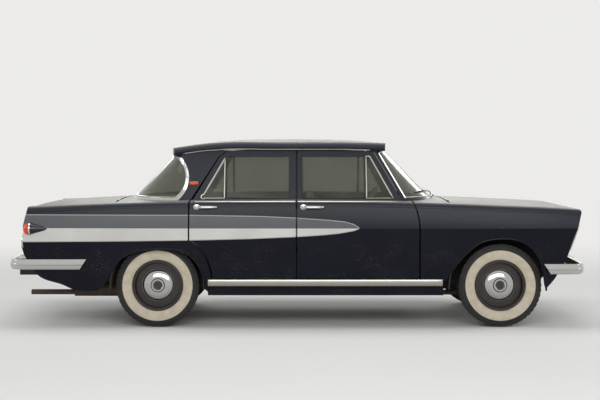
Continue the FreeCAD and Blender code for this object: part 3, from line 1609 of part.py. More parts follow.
def shared_shapes():
    """The big shapes that several pieces are cut from or to."""
    s = {}
    space = envelope()
    s["lower"] = hull(0, space)
    s["lower_8"] = hull(panel_thickness, space)
    s["lower_lid"] = hull(panel_thickness + lid_gap, space)
    s["lower_door"] = hull_loft(door_thickness)
    s["lower_post"] = hull_loft(post_outer)
    s["lower_post_inner"] = hull_loft(post_inner)
    s["skin"] = s["lower"].cut(s["lower_8"])
    s["room"] = cabin_room(frame_thickness)
    s["well_outer"] = cabin_well(0)
    s["screen_foot_space"] = prism(Part.Face(cabin_wire(0, -door_gap, False)), "xy", -overrun, cut_top).common(
        box(front_frame_low_x, half_length, 0, far_side, 0, frame_low_z + lid_gap))
    s["frame_wall"] = cabin_wall(0, frame_thickness)
    s["frame_outer"] = cabin_wall(0, frame_thickness * frame_skin_share)
    s["frame_inner"] = cabin(frame_thickness * frame_skin_share).cut(cabin(frame_thickness))
    s["glass_wall"] = cabin_wall(glass_inset, glass_inset + glass_thickness)
    s["roof_body"] = roof_body()
    lowered = s["roof_body"].copy()
    lowered.translate(Vector(0, 0, -roof_gap))
    s["roof_gap"] = s["roof_body"].fuse(lowered)
    s["front_arch"] = front_arch()
    s["rear_arch"] = rear_arch()
    s["tail_lamp"] = make_tail_lamp()
    s["tail_lamps"] = both_sides(s["tail_lamp"])
    head, small = make_front_lamps()
    s["lamp_hole"] = head.fuse(small)
    s["front_lamps"] = both_sides(s["lamp_hole"])
    s["front_irons"] = Part.makeCompound(front_irons())
    s["rear_irons"] = Part.makeCompound(rear_irons())
    line = tail_line(tail_recess + panel_thickness)
    s["ahead_of_tail_panel"] = prism(
        outline("xz", (line[0][0], cut_top),
                *(line + [(line[-1][0], 0), (half_length, 0), (half_length, cut_top)])),
        "xz", -far_side, far_side)
    house = Part.makeCylinder(rear_house_radius + panel_thickness, far_side,
                              Vector(rear_axle_x, rear_house_y, axle_z), Vector(0, 1, 0))
    skirt = box(rear_axle_x - rear_house_radius - panel_thickness, rear_axle_x + rear_house_radius + panel_thickness,
                rear_house_y, far_side, 0, axle_z)
    s["rear_house_space"] = both_sides(house.fuse(skirt))
    return s


def main():
    os.makedirs("parts", exist_ok=True)
    s = shared_shapes()
    front_windows_faces = front_windows()
    rear_windows_faces = rear_windows()
    front_door = make_door(s, front_door_outline(0), front_door_outline(-frame_step), front_door_core(),
                           front_windows_faces, front_hinge_x())
    rear_door = make_door(s, rear_door_outline(0), rear_door_outline(-frame_step), rear_door_core(),
                          rear_windows_faces, rear_hinge_x())
    front_glass = Part.makeCompound(make_glass(s, front_windows_faces))
    rear_glass = Part.makeCompound(make_glass(s, rear_windows_faces))
    quarter = make_rear_quarter(s)
    screen_frame, screen, rear_frame, rear_screen = make_screens(s)
    head, small = make_front_lamps()
    houses = make_wheelhouses(s)
    nodes = {
        "floor_pan": make_floor(s),
        "side_frames": both_sides(make_side_frame(s)),
        "front_wings": both_sides(make_front_wing(s)),
        "rear_quarters": both_sides(quarter),
        "roof": make_roof(s["roof_body"]),
        "windscreen_frame": screen_frame,
        "windscreen": screen,
        "rear_window_frame": rear_frame,
        "rear_window": rear_screen,
        "scuttle": make_scuttle(s),
        "rear_deck": make_rear_deck(s),
        "tail_panel": make_tail_panel(s),
        "nose_panel": make_nose_panel(s),
        "grille": make_grille(),
        "headlamps": both_sides(head),
        "side_lamps": both_sides(small),
        "tail_lamps": s["tail_lamps"],
        "front_bumper": make_bumper(front_bumper_side_x, front_bumper_corner_x, half_length, front_bumper_z),
        "rear_bumper": make_bumper(rear_bumper_side_x, rear_bumper_corner_x, -half_length, rear_bumper_z),
        "bumper_irons": Part.makeCompound(front_irons() + rear_irons()),
        "engine": make_engine(),
        "propshaft": make_shaft(),
        "radiator": make_radiator(),
        "dashboard": make_dashboard(s),
        "front_seat": make_front_seat(),
        "rear_seat": make_rear_seat(),
        "front_suspension": make_front_suspension(),
        "rear_axle": make_rear_axle(),
        "exhaust": make_exhaust(),
        "fuel_tank": make_fuel_tank(),
        "wheelhouses": Part.makeCompound(houses + [mirrored(house) for house in houses]),
        "steering_wheel": make_steering_wheel(),
        "bonnet": make_bonnet(s),
        "boot_lid": make_boot_lid(s),
        "knuckle_left": make_knuckle(),
        "knuckle_right": mirrored(make_knuckle()),
        "door_front_left": front_door,
        "door_front_right": mirrored(front_door),
        "door_rear_left": rear_door,
        "door_rear_right": mirrored(rear_door),
        "glass_front_left": front_glass,
        "glass_front_right": mirrored(front_glass),
        "glass_rear_left": rear_glass,
        "glass_rear_right": mirrored(rear_glass),
    }
    for place, x in (("front", front_axle_x), ("rear", rear_axle_x)):
        for name, side in (("left", 1), ("right", -1)):
            nodes["wheel_" + place + "_" + name] = turned_across(wheel_profile(), x, side)
            nodes["tyre_" + place + "_" + name] = turned_across(tyre_profile(), x, side)
    for name, shape in nodes.items():
        shape.exportStep("parts/" + name + ".step")


main()
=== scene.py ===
"""A four-door saloon car of the late 1950s, dressed for the studio.

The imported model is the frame. This file gives its panels their finishes and adds the trim, the seats, the
tyre tread and the small fittings, each as an operator of one add-on, and sets the stage round it.
"""

import bmesh
import bpy
import functools
import math
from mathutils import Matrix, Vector


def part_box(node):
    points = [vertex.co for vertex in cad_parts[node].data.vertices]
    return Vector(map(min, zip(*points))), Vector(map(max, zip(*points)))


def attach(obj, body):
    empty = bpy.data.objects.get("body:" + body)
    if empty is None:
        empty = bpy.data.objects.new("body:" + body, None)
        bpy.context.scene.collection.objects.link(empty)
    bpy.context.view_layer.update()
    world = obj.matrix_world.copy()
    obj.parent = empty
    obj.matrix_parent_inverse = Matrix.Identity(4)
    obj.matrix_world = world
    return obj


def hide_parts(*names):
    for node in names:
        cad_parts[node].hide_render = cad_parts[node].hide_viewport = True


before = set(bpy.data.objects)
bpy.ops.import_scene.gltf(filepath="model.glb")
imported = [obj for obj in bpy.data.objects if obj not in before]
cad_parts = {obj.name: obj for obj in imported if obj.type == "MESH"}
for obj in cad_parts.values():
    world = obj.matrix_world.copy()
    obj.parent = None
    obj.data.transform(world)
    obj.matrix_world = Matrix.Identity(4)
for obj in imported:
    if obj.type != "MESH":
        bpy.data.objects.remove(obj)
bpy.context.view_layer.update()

bl_info = {
    "name": "Saloon car dresser",
    "version": (1, 0, 0),
    "blender": (4, 5, 0),
    "location": "View3D > Sidebar > Saloon",
    "description": "Finishes, trim, seats and stage for a four-door saloon car",
    "category": "Object",
}


def middle_of(node):
    """The middle of a CAD node's box."""
    low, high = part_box(node)
    return (low + high) / 2


MM = 0.001
SIDES = ((1, "left"), (-1, "right"))
OUTSIDE = 1.2
FRONT_AXLE = middle_of("wheel_front_left")
REAR_AXLE = middle_of("wheel_rear_left")
TYRE_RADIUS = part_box("tyre_front_left")[1].z - middle_of("tyre_front_left").z
CREASE_Z = 0.78

STRIPE_X = (-2.15, 0.52)
STRIPE_Z = (0.60, 0.92)
STRIPE_TIP_X = 0.497
STRIPE_TOP = ((-2.15, 0.888), (-0.836, 0.887), (-0.30, 0.879), (-0.006, 0.866), (0.25, 0.849), (0.383, 0.835),
              (0.452, 0.815), (STRIPE_TIP_X, 0.786), (0.52, 0.60))
STRIPE_LOW = ((-2.15, 0.676), (-1.457, 0.683), (-0.836, 0.692), (-0.365, 0.704), (0.002, 0.720),
              (0.20, 0.733), (0.332, 0.746), (0.452, 0.767), (STRIPE_TIP_X, 0.786), (0.52, 0.92))
STRIPE_LINE_HALF = 0.0028

WHITEWALL = (0.2025, 0.277)
CAP_RADIUS = 0.1255
CAP_STANDS_OUT = 0.0195
BOSS_RADIUS = 0.033
GROOVE_RADIUS = 0.0545
GROOVE_HALF = 0.0022

TAIL_LENS_X = -2.102
TAIL_BEZEL_X = -2.092
BETWEEN_LAMPS_Z = 0.645
LAMP_Y = 0.672
# each lamp's height and the radius of its glass
SIDE_LAMP = (0.577, 0.0385)
HEADLAMP = (0.748, 0.0865)

SILL_STRIP_Z = 0.357
BELT_STRIP_Z = 0.997
REFLECTOR_Z = 1.1325
HANDLE_Z = 0.951
PLUG_PLACE = (1.613, 0.789)
GUTTER_X = (-0.90, 0.59)
GUTTER_STEPS = 24

TREAD_BLOCKS = 48
RIM_RING_RADIUS = 0.193
RIM_RING_POINTS = 72

CLOTH_FRAMES = 20
CUSHION_VOXEL = 0.012
CUSHION_CAP = 0.020
CHANNEL_STEP = 0.085
CHANNEL_DEPTH = 0.008
CHANNEL_HALF = 0.008
CHANNEL_BORDER = 0.09

WHEEL_CENTRE = Vector((0.600, 0.350, 0.905))
COLUMN_ANGLE = math.radians(58)
HORN_RING_RADIUS = 0.118


class SaloonPaint(bpy.types.PropertyGroup):
    """Colours of the body and its stripe."""

    body: bpy.props.StringProperty(
        name="Body", description="Enamel of the body as sRGB hex", default="0f101a")
    grey: bpy.props.StringProperty(
        name="Grey stripe", description="Upper stripe as sRGB hex", default="5f6063")
    white: bpy.props.StringProperty(
        name="White stripe", description="Lower stripe as sRGB hex", default="cfceca")
    dust: bpy.props.StringProperty(
        name="Dust", description="Dust on level panels as sRGB hex", default="9a948a")
    rim: bpy.props.StringProperty(
        name="Wheels", description="Enamel of the wheels as sRGB hex", default="1d1917")


class SaloonTrim(bpy.types.PropertyGroup):
    """Sizes of the bright trim."""

    sill_depth: bpy.props.FloatProperty(
        name="Sill strip", description="Height of the sill moulding", default=0.050, unit="LENGTH")
    belt_depth: bpy.props.FloatProperty(
        name="Belt strip", description="Height of the window moulding", default=0.016, unit="LENGTH")
    bead: bpy.props.FloatProperty(
        name="Bead", description="Radius of the round window beads", default=0.006, unit="LENGTH")
    handle: bpy.props.FloatProperty(
        name="Handle", description="Length of a door handle", default=0.190, unit="LENGTH")


def colour(text):
    """A linear colour from sRGB hex."""
    parts = [int(text[i:i + 2], 16) / 255 for i in (0, 2, 4)]
    return (*(c / 12.92 if c <= 0.04045 else ((c + 0.055) / 1.055) ** 2.4 for c in parts), 1.0)


def add(tree, kind, links=None, **settings):
    """A shader node with its settings. links gives values, sockets or nodes for its inputs."""
    made = tree.nodes.new("ShaderNode" + kind)
    for name, value in settings.items():
        setattr(made, name, value)
    for name, value in (links or {}).items():
        if isinstance(value, bpy.types.Node):
            value = next(socket for socket in value.outputs if socket.enabled)
        if isinstance(value, bpy.types.NodeSocket):
            tree.links.new(value, made.inputs[name])
        else:
            made.inputs[name].default_value = value
    return made


def material(name, shader_of, *values):
    """A material whose shader shader_of makes from the tree, the object's own coordinates and values."""
    made = bpy.data.materials.new(name)
    made.use_nodes = True
    tree = made.node_tree
    tree.nodes.clear()
    place = add(tree, "TexCoord").outputs["Object"]
    add(tree, "OutputMaterial", {0: shader_of(tree, place, *values)})
    return made


def patches(tree, place, scale, detail, start, end, low=0.0, high=1.0):
    """Cloudy patches 1/scale metres wide, which go from low to high between two levels of the cloud."""
    cloud = add(tree, "TexNoise", {"Vector": place, "Scale": scale, "Detail": detail})
    return add(tree, "MapRange", {0: cloud, 1: start, 2: end, 3: low, 4: high})


def share(value, low, high):
    """How far a value lies from low to high, as 0 to 1."""
    return (value - low) / (high - low)


def stripe_edge(tree, x, line):
    """The height of a stripe's edge along the car, by straight lines through its points."""
    along = add(tree, "MapRange", {0: x, 1: STRIPE_X[0], 2: STRIPE_X[1]})
    graph = add(tree, "FloatCurve", {"Value": along})
    curve = graph.mapping.curves[0]
    while len(curve.points) < len(line):
        curve.points.new(0.5, 0.5)
    for point, (at, height) in zip(curve.points, line):
        point.location = (share(at, *STRIPE_X), share(height, *STRIPE_Z))
        point.handle_type = "VECTOR"
    graph.mapping.update()
    return add(tree, "MapRange", {0: graph, 3: STRIPE_Z[0], 4: STRIPE_Z[1]})


def enamel(tree, place):
    """Stoved cellulose enamel: a deep, slightly soft gloss with a two-colour flash, a film of dust, and a
    painted sheen of light where the flank above the crease faces slightly up.
    """
    values = bpy.context.scene.saloon_paint
    x, y, z = add(tree, "SeparateXYZ", {0: place}).outputs
    normal = add(tree, "TexCoord").outputs["Normal"]
    _, sideways, upward = add(tree, "SeparateXYZ", {0: normal}).outputs
    top, low = stripe_edge(tree, x, STRIPE_TOP), stripe_edge(tree, x, STRIPE_LOW)
    upper = add(tree, "Math", {0: z, 1: CREASE_Z + 0.004}, operation="GREATER_THAN")
    lower = add(tree, "Math", {0: 1.0, 1: upper}, operation="SUBTRACT")
    outward = add(tree, "Math", {0: sideways, 1: y}, operation="MULTIPLY")
    outward = add(tree, "Math", {0: outward, 1: 0.35}, operation="GREATER_THAN")
    behind_tip = add(tree, "Math", {0: x, 1: STRIPE_TIP_X}, operation="LESS_THAN")
    side = add(tree, "Math", {0: outward, 1: behind_tip}, operation="MULTIPLY")
    under_top = add(tree, "Math", {0: z, 1: top}, operation="LESS_THAN")
    over_low = add(tree, "Math", {0: z, 1: low}, operation="GREATER_THAN")
    near_top = add(tree, "Math", {0: z, 1: top, 2: STRIPE_LINE_HALF}, operation="COMPARE")
    near_low = add(tree, "Math", {0: z, 1: low, 2: STRIPE_LINE_HALF}, operation="COMPARE")
    # painted sheen: where the flank above the crease faces slightly up it is lightened, standing in for the
    # overhead light it would reflect
    painted_sheen = add(tree, "MapRange", {0: upward, 1: 0.02, 2: 0.22, 4: 0.75})
    fine = add(tree, "TexNoise", {"Vector": place, "Scale": 900.0, "Detail": 3.0})
    fine = add(tree, "Math", {0: fine, 1: 0.32, 2: 0.02}, operation="MULTIPLY_ADD")
    broad = add(tree, "TexNoise", {"Vector": place, "Scale": 2.2, "Detail": 5.0})
    settled = add(tree, "Math", {0: broad, 1: 0.62, 2: fine}, operation="MULTIPLY_ADD")
    level = add(tree, "MapRange", {0: upward, 1: 0.75, 2: 1.0})
    film = add(tree, "Math", {0: level, 1: settled}, operation="MULTIPLY")
    specks = patches(tree, place, 240.0, 1.0, 0.66, 0.74)
    splash = patches(tree, place, 5.0, 3.0, 0.45, 0.65)
    specks = add(tree, "Math", {0: specks, 1: splash}, operation="MULTIPLY")
    low_down = add(tree, "MapRange", {0: z, 1: 0.72, 2: 0.60, 4: 0.5})
    dusty = add(tree, "Math", {0: specks, 1: low_down, 2: film}, operation="MULTIPLY_ADD", use_clamp=True)
    cream = add(tree, "Mix", {0: patches(tree, place, 3.0, 5.0, 0.35, 0.75), 6: colour(values.white),
                              7: colour("c2c0bb")}, data_type="RGBA")
    base = colour(values.body)
    for masks, over in (
        ((patches(tree, place, 3.0, 4.0, 0.35, 0.75),), colour("141520")),
        # painted sheen: blue-grey light painted on the flank above the crease where it faces slightly up
        ((painted_sheen, upper), colour("33363d")),
        ((under_top, upper, side), colour(values.grey)),
        ((over_low, lower, side), cream),
        ((near_top, upper, side), colour("a9a9a6")),
        ((near_low, lower, side), colour("a9a9a6")),
        ((dusty,), colour(values.dust)),
    ):
        shown = masks[0]
        for mask in masks[1:]:
            shown = add(tree, "Math", {0: shown, 1: mask}, operation="MULTIPLY")
        base = add(tree, "Mix", {0: shown, 6: base, 7: over}, data_type="RGBA")
    rough = add(tree, "Math", {0: dusty, 1: 0.5, 2: 0.24}, operation="MULTIPLY_ADD")
    orange_peel = add(tree, "TexNoise", {"Vector": place, "Scale": 300.0, "Detail": 2.0})
    peel = add(tree, "Bump", {"Height": orange_peel, "Strength": 0.02, "Distance": MM})
    return add(tree, "BsdfPrincipled", {
        "Base Color": base, "Roughness": rough, "Normal": peel, "Specular IOR Level": 0.12})


def chrome(tree, place):
    """Chromium plate over steel: a near mirror with a faint haze and pin spots."""
    haze = patches(tree, place, 25.0, 5.0, 0.35, 0.8, 0.06, 0.24)
    spots = patches(tree, place, 420.0, 1.0, 0.72, 0.78)
    tint = add(tree, "Mix", {0: spots, 6: colour("bdbdbb"), 7: colour("7d766c")}, data_type="RGBA")
    return add(tree, "BsdfPrincipled", {"Base Color": tint, "Metallic": 1.0, "Roughness": haze})


def brightwork(tree, place):
    """Anodised aluminium mouldings: satin bright metal with a light brushed grain along the car."""
    along_grain = add(tree, "Mapping", {"Vector": place, "Scale": (0.02, 1, 1)})
    rough = patches(tree, along_grain, 600.0, 2.0, 0.3, 0.7, 0.22, 0.38)
    return add(tree, "BsdfPrincipled", {"Base Color": colour("a5a29b"), "Metallic": 1.0, "Roughness": rough})


def glass(tree, place):
    """Toughened plate glass with a grey-green cast and a film of dust, which lets light into the cabin."""
    film = patches(tree, place, 7.0, 8.0, 0.3, 0.9)
    rough = add(tree, "Math", {0: film, 1: 0.06, 2: 0.02}, operation="MULTIPLY_ADD")
    pane = add(tree, "BsdfPrincipled", {
        "Base Color": colour("a3a59b"), "Roughness": rough, "Transmission Weight": 1.0, "IOR": 1.2})
    dust = add(tree, "BsdfDiffuse", {"Color": colour("83837a")})
    cover = add(tree, "Math", {0: film, 1: 0.14, 2: 0.16}, operation="MULTIPLY_ADD")
    dusty = add(tree, "MixShader", {0: cover, 1: pane, 2: dust})
    bare = add(tree, "BsdfTransparent", {"Color": colour("c9cec2")})
    path = add(tree, "LightPath").outputs
    unseen = add(tree, "Math", {0: path["Is Shadow Ray"], 1: path["Is Diffuse Ray"]}, operation="MAXIMUM")
    return add(tree, "MixShader", {0: unseen, 1: dusty, 2: bare})


def round_axle(tree, place, axle):
    """The distance from a wheel's axis, and the distance from the car's middle plane."""
    flat = add(tree, "VectorMath", {0: place, 1: (1, 0, 1)}, operation="MULTIPLY")
    radius = add(tree, "VectorMath", {0: flat, 1: (axle.x, 0, axle.z)}, operation="DISTANCE")
    across = add(tree, "SeparateXYZ", {0: place}).outputs[1]
    return radius, add(tree, "Math", {0: across}, operation="ABSOLUTE")


def tyre_rubber(tree, place, axle):
    """Black rubber with a cream whitewall band, ringed by radius from the axle."""
    radius, across = round_axle(tree, place, axle)
    outer_half = add(tree, "Math", {0: across, 1: abs(axle.y)}, operation="GREATER_THAN")
    inner, outer = WHITEWALL
    ring = add(tree, "Math", {0: radius, 1: (inner + outer) / 2, 2: (outer - inner) / 2}, operation="COMPARE")
    band = add(tree, "Math", {0: ring, 1: outer_half}, operation="MULTIPLY")
    grime = patches(tree, place, 18.0, 6.0, 0.35, 0.8)
    cream = add(tree, "Mix", {0: grime, 6: colour("c9bfac"), 7: colour("b3a791")}, data_type="RGBA")
    black = add(tree, "Mix", {0: grime, 6: colour("161616"), 7: colour("24221f")}, data_type="RGBA")
    base = add(tree, "Mix", {0: band, 6: black, 7: cream}, data_type="RGBA")
    grain = add(tree, "TexNoise", {"Vector": place, "Scale": 500.0, "Detail": 3.0})
    lift = add(tree, "Bump", {"Height": grain, "Strength": 0.12, "Distance": MM})
    return add(tree, "BsdfPrincipled", {"Base Color": base, "Roughness": 0.72, "Normal": lift})


def wheel_enamel(tree, place, axle):
    """Dark stoved wheel enamel, with the plated cap in the middle and rust-brown grime at the rim."""
    radius, across = round_axle(tree, place, axle)
    out_from = add(tree, "Math", {0: across, 1: abs(axle.y) + CAP_STANDS_OUT}, operation="GREATER_THAN")
    within = add(tree, "Math", {0: radius, 1: CAP_RADIUS}, operation="LESS_THAN")
    cap = add(tree, "Math", {0: within, 1: out_from}, operation="MULTIPLY")
    boss = add(tree, "Math", {0: radius, 1: BOSS_RADIUS}, operation="LESS_THAN")
    groove = add(tree, "Math", {0: radius, 1: GROOVE_RADIUS, 2: GROOVE_HALF}, operation="COMPARE")
    marks = add(tree, "Math", {0: boss, 1: groove}, operation="MAXIMUM")
    marks = add(tree, "Math", {0: cap, 1: marks}, operation="MULTIPLY")
    base = colour(bpy.context.scene.saloon_paint.rim)
    grime = patches(tree, place, 30.0, 6.0, 0.4, 0.75)
    for mask, over in ((grime, "2e2119"), (cap, "b4b4b2"), (marks, "4d4a46")):
        base = add(tree, "Mix", {0: mask, 6: base, 7: colour(over)}, data_type="RGBA")
    rough = add(tree, "Math", {0: cap, 1: -0.26, 2: 0.36}, operation="MULTIPLY_ADD")
    return add(tree, "BsdfPrincipled", {"Base Color": base, "Metallic": cap, "Roughness": rough})


def plain_finish(tree, place, pale, dark, rough, grain, metal=0.0, bump=0.1):
    """A worn single-colour surface: two close shades in patches, with a grain, in mm, in its roughness."""
    worn = patches(tree, place, 9.0, 6.0, 0.35, 0.75)
    base = add(tree, "Mix", {0: worn, 6: colour(pale), 7: colour(dark)}, data_type="RGBA")
    fine = add(tree, "TexNoise", {"Vector": place, "Scale": 1 / (grain * MM), "Detail": 3.0})
    roughness = add(tree, "Math", {0: fine, 1: 0.16, 2: rough - 0.08}, operation="MULTIPLY_ADD")
    lift = add(tree, "Bump", {"Height": fine, "Strength": bump, "Distance": MM})
    return add(tree, "BsdfPrincipled", {
        "Base Color": base, "Roughness": roughness, "Metallic": metal, "Normal": lift})


def tail_lens(tree, place):
    """Moulded acrylic lens in red, a plated bezel and an enamelled pod, told apart along the car."""
    x = add(tree, "SeparateXYZ", {0: place}).outputs[0]
    lens = add(tree, "Math", {0: x, 1: TAIL_LENS_X}, operation="LESS_THAN")
    behind_pod = add(tree, "Math", {0: x, 1: TAIL_BEZEL_X}, operation="LESS_THAN")
    bezel = add(tree, "Math", {0: behind_pod, 1: lens}, operation="SUBTRACT")
    ribs = add(tree, "TexWave", {"Vector": place, "Scale": 60.0}, bands_direction="Z").outputs["Fac"]
    base = add(tree, "Mix", {0: ribs, 6: colour("e0481a"), 7: colour("b42a10")}, data_type="RGBA")
    pod = colour(bpy.context.scene.saloon_paint.body)
    pod = add(tree, "Mix", {0: bezel, 6: pod, 7: colour("d9d9d6")}, data_type="RGBA")
    base = add(tree, "Mix", {0: lens, 6: pod, 7: base}, data_type="RGBA")
    return add(tree, "BsdfPrincipled", {"Base Color": base, "Metallic": bezel, "Roughness": 0.16})


def lamp_glass(tree, place):
    """Pressed lamp glass with upright flutes, inside a plated rim told by its distance from the axis."""
    z = add(tree, "SeparateXYZ", {0: place}).outputs[2]
    head = add(tree, "Math", {0: z, 1: BETWEEN_LAMPS_Z}, operation="GREATER_THAN")
    height, reach = (add(tree, "Math", {0: head, 1: of_head - of_side, 2: of_side}, operation="MULTIPLY_ADD")
                     for of_side, of_head in zip(SIDE_LAMP, HEADLAMP))
    middle = add(tree, "CombineXYZ", {1: LAMP_Y, 2: height})
    near_half = add(tree, "VectorMath", {0: place}, operation="ABSOLUTE")
    flat = add(tree, "VectorMath", {0: near_half, 1: (0, 1, 1)}, operation="MULTIPLY")
    radius = add(tree, "VectorMath", {0: flat, 1: middle}, operation="DISTANCE")
    rim = add(tree, "Math", {0: radius, 1: reach}, operation="GREATER_THAN")
    inside = add(tree, "Math", {0: 1.0, 1: rim}, operation="SUBTRACT")
    flutes = add(tree, "TexWave", {"Vector": place, "Scale": 55.0}, bands_direction="Y").outputs["Fac"]
    ridges = add(tree, "Math", {0: flutes, 1: inside}, operation="MULTIPLY")
    lift = add(tree, "Bump", {"Height": ridges, "Strength": 0.5, "Distance": 2 * MM})
    base = add(tree, "Mix", {0: flutes, 6: colour("e2e2da"), 7: colour("a8a9a4")}, data_type="RGBA")
    base = add(tree, "Mix", {0: rim, 6: base, 7: colour("d9d9d6")}, data_type="RGBA")
    metal = add(tree, "Math", {0: rim, 1: 0.55, 2: 0.45}, operation="MULTIPLY_ADD")
    return add(tree, "BsdfPrincipled", {
        "Base Color": base, "Metallic": metal, "Roughness": 0.12, "Normal": lift})


def hide(tree, place, pale, dark, grain):
    """Leathercloth: a soft sheen with a fine pebble, its size in mm, and darker worn patches."""
    pebble = add(tree, "TexVoronoi", {"Vector": place, "Scale": 1 / (grain * MM)})
    worn = patches(tree, place, 6.0, 5.0, 0.3, 0.8)
    base = add(tree, "Mix", {0: worn, 6: colour(pale), 7: colour(dark)}, data_type="RGBA")
    lift = add(tree, "Bump", {"Height": pebble, "Strength": 0.25, "Distance": MM})
    return add(tree, "BsdfPrincipled", {
        "Base Color": base, "Roughness": 0.55, "Normal": lift, "Sheen Weight": 0.2})


FINISHES = {
    "paint": ("navy_enamel", enamel),
    "chrome": ("chromium_plate", chrome),
    "bright": ("anodised_aluminium", brightwork),
    "glass": ("plate_glass", glass),
    "underbody": ("bitumen_underseal", plain_finish, "23211f", "3a3029", 0.8, 3.0, 0.0, 0.4),
    "iron": ("cast_iron", plain_finish, "2c2b2a", "4a3a30", 0.7, 2.0, 0.6, 0.3),
    "steel": ("rusted_steel_pipe", plain_finish, "4a4038", "5d4a3b", 0.65, 2.0, 0.5, 0.3),
    "dash": ("cream_enamel", plain_finish, "b9ab8c", "a09478", 0.4, 4.0),
    "black": ("black_rubber", plain_finish, "171717", "242322", 0.7, 2.0, 0.0, 0.2),
    "lens": ("tail_lamp_mouldings", tail_lens),
    "lamp": ("fluted_lamp_glass", lamp_glass),
    "seat": ("leathercloth", hide, "b8a888", "8f7f63", 1.6),
    "trim_card": ("leathercloth_cards", hide, "a39678", "857a60", 1.6),
    "headcloth": ("woven_headcloth", plain_finish, "b5aa90", "9d927a", 0.9, 1.2, 0.0, 0.3),
    "amber": ("amber_reflector", plain_finish, "c8561c", "a8420f", 0.25, 1.0),
    "white_plate": ("painted_plate", plain_finish, "c9c7c0", "b4b1a8", 0.45, 2.0),
}


@functools.cache
def finish_named(name):
    """One of the finishes, made when it is first asked for."""
    return material(*FINISHES[name])


def coat(obj, finish):
    """Gives an object one material in every slot. finish is a material or the name of a finish."""
    made = finish_named(finish) if isinstance(finish, str) else finish
    if not obj.data.materials:
        obj.data.materials.append(made)
    for index in range(len(obj.data.materials)):
        obj.data.materials[index] = made


def clear():
    """Leaves edit mode and selects nothing."""
    if bpy.context.object and bpy.context.object.mode != "OBJECT":
        bpy.ops.object.mode_set(mode="OBJECT")
    bpy.ops.object.select_all(action="DESELECT")


def pick(obj):
    """Selects one object alone and makes it active."""
    clear()
    obj.select_set(True)
    bpy.context.view_layer.objects.active = obj


def place_here(obj, name, finish, body="body"):
    """Names a finished piece, puts its place in its mesh, coats it and lets it ride on a body."""
    pick(obj)
    bpy.ops.object.transform_apply(location=True, rotation=True, scale=True)
    obj.name = name
    obj.data.name = name
    coat(obj, finish)
    bpy.ops.object.shade_smooth_by_angle(angle=math.radians(35))
    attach(obj, body)
    return obj


def modify(obj, kind, **settings):
    """Adds a modifier with its settings and applies it."""
    pick(obj)
    made = obj.modifiers.new(kind.title(), kind)
    for name, value in settings.items():
        setattr(made, name, value)
    bpy.ops.object.modifier_apply(modifier=made.name)


def outward_normals(obj):
    """Merges doubled points and turns every face outwards."""
    pick(obj)
    bpy.ops.object.mode_set(mode="EDIT")
    bpy.ops.mesh.select_all(action="SELECT")
    bpy.ops.mesh.remove_doubles(threshold=1e-5)
    bpy.ops.mesh.normals_make_consistent(inside=False)
    bpy.ops.object.mode_set(mode="OBJECT")


def smooth_patches(mesh, turn):
    """Groups the faces that meet at less than turn degrees. Gives the groups and each face's group number."""
    limit = math.cos(math.radians(turn))
    number_of, groups = {}, []
    for first in mesh.faces:
        if first in number_of:
            continue
        members = [first]
        number_of[first] = len(groups)
        for face in members:
            for other in (other for edge in face.edges for other in edge.link_faces):
                if other not in number_of and other.normal.dot(face.normal) > limit:
                    number_of[other] = len(groups)
                    members.append(other)
        groups.append(members)
    return groups, number_of


def rims(name, least=0.012, turn=45):
    """Edge loops round the large smooth faces of a CAD node, each as (points, mean normal, middle)."""
    mesh = bmesh.new()
    mesh.from_mesh(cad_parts[name].data)
    bmesh.ops.remove_doubles(mesh, verts=mesh.verts, dist=2e-5)
    mesh.normal_update()
    groups, number_of = smooth_patches(mesh, turn)
    found = []
    for number, members in enumerate(groups):
        area = sum(face.calc_area() for face in members)
        if area < least:
            continue
        normal = sum((face.normal * face.calc_area() for face in members), Vector())
        middle = sum((face.calc_center_median() * face.calc_area() for face in members), Vector()) / area
        following = {}
        for loop in (loop for face in members for loop in face.loops):
            if all(number_of[other] != number for other in loop.edge.link_faces if other is not loop.face):
                following.setdefault(loop.vert, []).append(loop.link_loop_next.vert)
        while following:
            start = here = next(iter(following))
            points = []
            while here in following:
                points.append(here.co.copy())
                there = following[here].pop()
                if not following[here]:
                    del following[here]
                here = there
                if here is start:
                    break
            if len(points) > 2:
                found.append((points, normal.normalized(), middle))
    mesh.free()
    return found


def outer_rims(node, way):
    """The loops round a pane's outer faces, where way says which side is outside."""
    found = [(points, middle) for points, normal, middle in rims(node) if normal.dot(way) > 0.3]
    if not found:
        raise RuntimeError("no edge found round " + node)
    return found


def even(points, step, closed=False):
    """The same line with a point at every step, so that a bar along it bends evenly."""
    line = list(points) + ([points[0]] if closed else [])
    out = [line[0].copy()]
    for a, b in zip(line, line[1:]):
        pieces = max(1, math.ceil((b - a).length / step))
        out += [a.lerp(b, i / pieces) for i in range(1, pieces + 1)]
    if closed:
        out.pop()
    return out


def met(node, start, way, needed=True):
    """The first point of a CAD node that is met from start along way, with its normal."""
    hit, where, normal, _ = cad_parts[node].ray_cast(Vector(start), Vector(way))
    if hit:
        return where.copy(), normal.copy()
    if needed:
        raise RuntimeError("%s isn't met from %.3f %.3f %.3f" % (node, *start))
    return None, None


def skin(node, side, x, z):
    """The outermost point of a CAD node at x and z on one side, with its normal."""
    return met(node, (x, side * OUTSIDE, z), (0, -side, 0))


def ribbon(rows):
    """A strip of faces through rows of points, each row across the strip."""
    clear()
    bpy.ops.mesh.primitive_grid_add(x_subdivisions=len(rows[0]) - 1, y_subdivisions=len(rows) - 1, size=1)
    obj = bpy.context.object
    for vertex, point in zip(obj.data.vertices, (point for row in rows for point in row)):
        vertex.co = point
    return obj


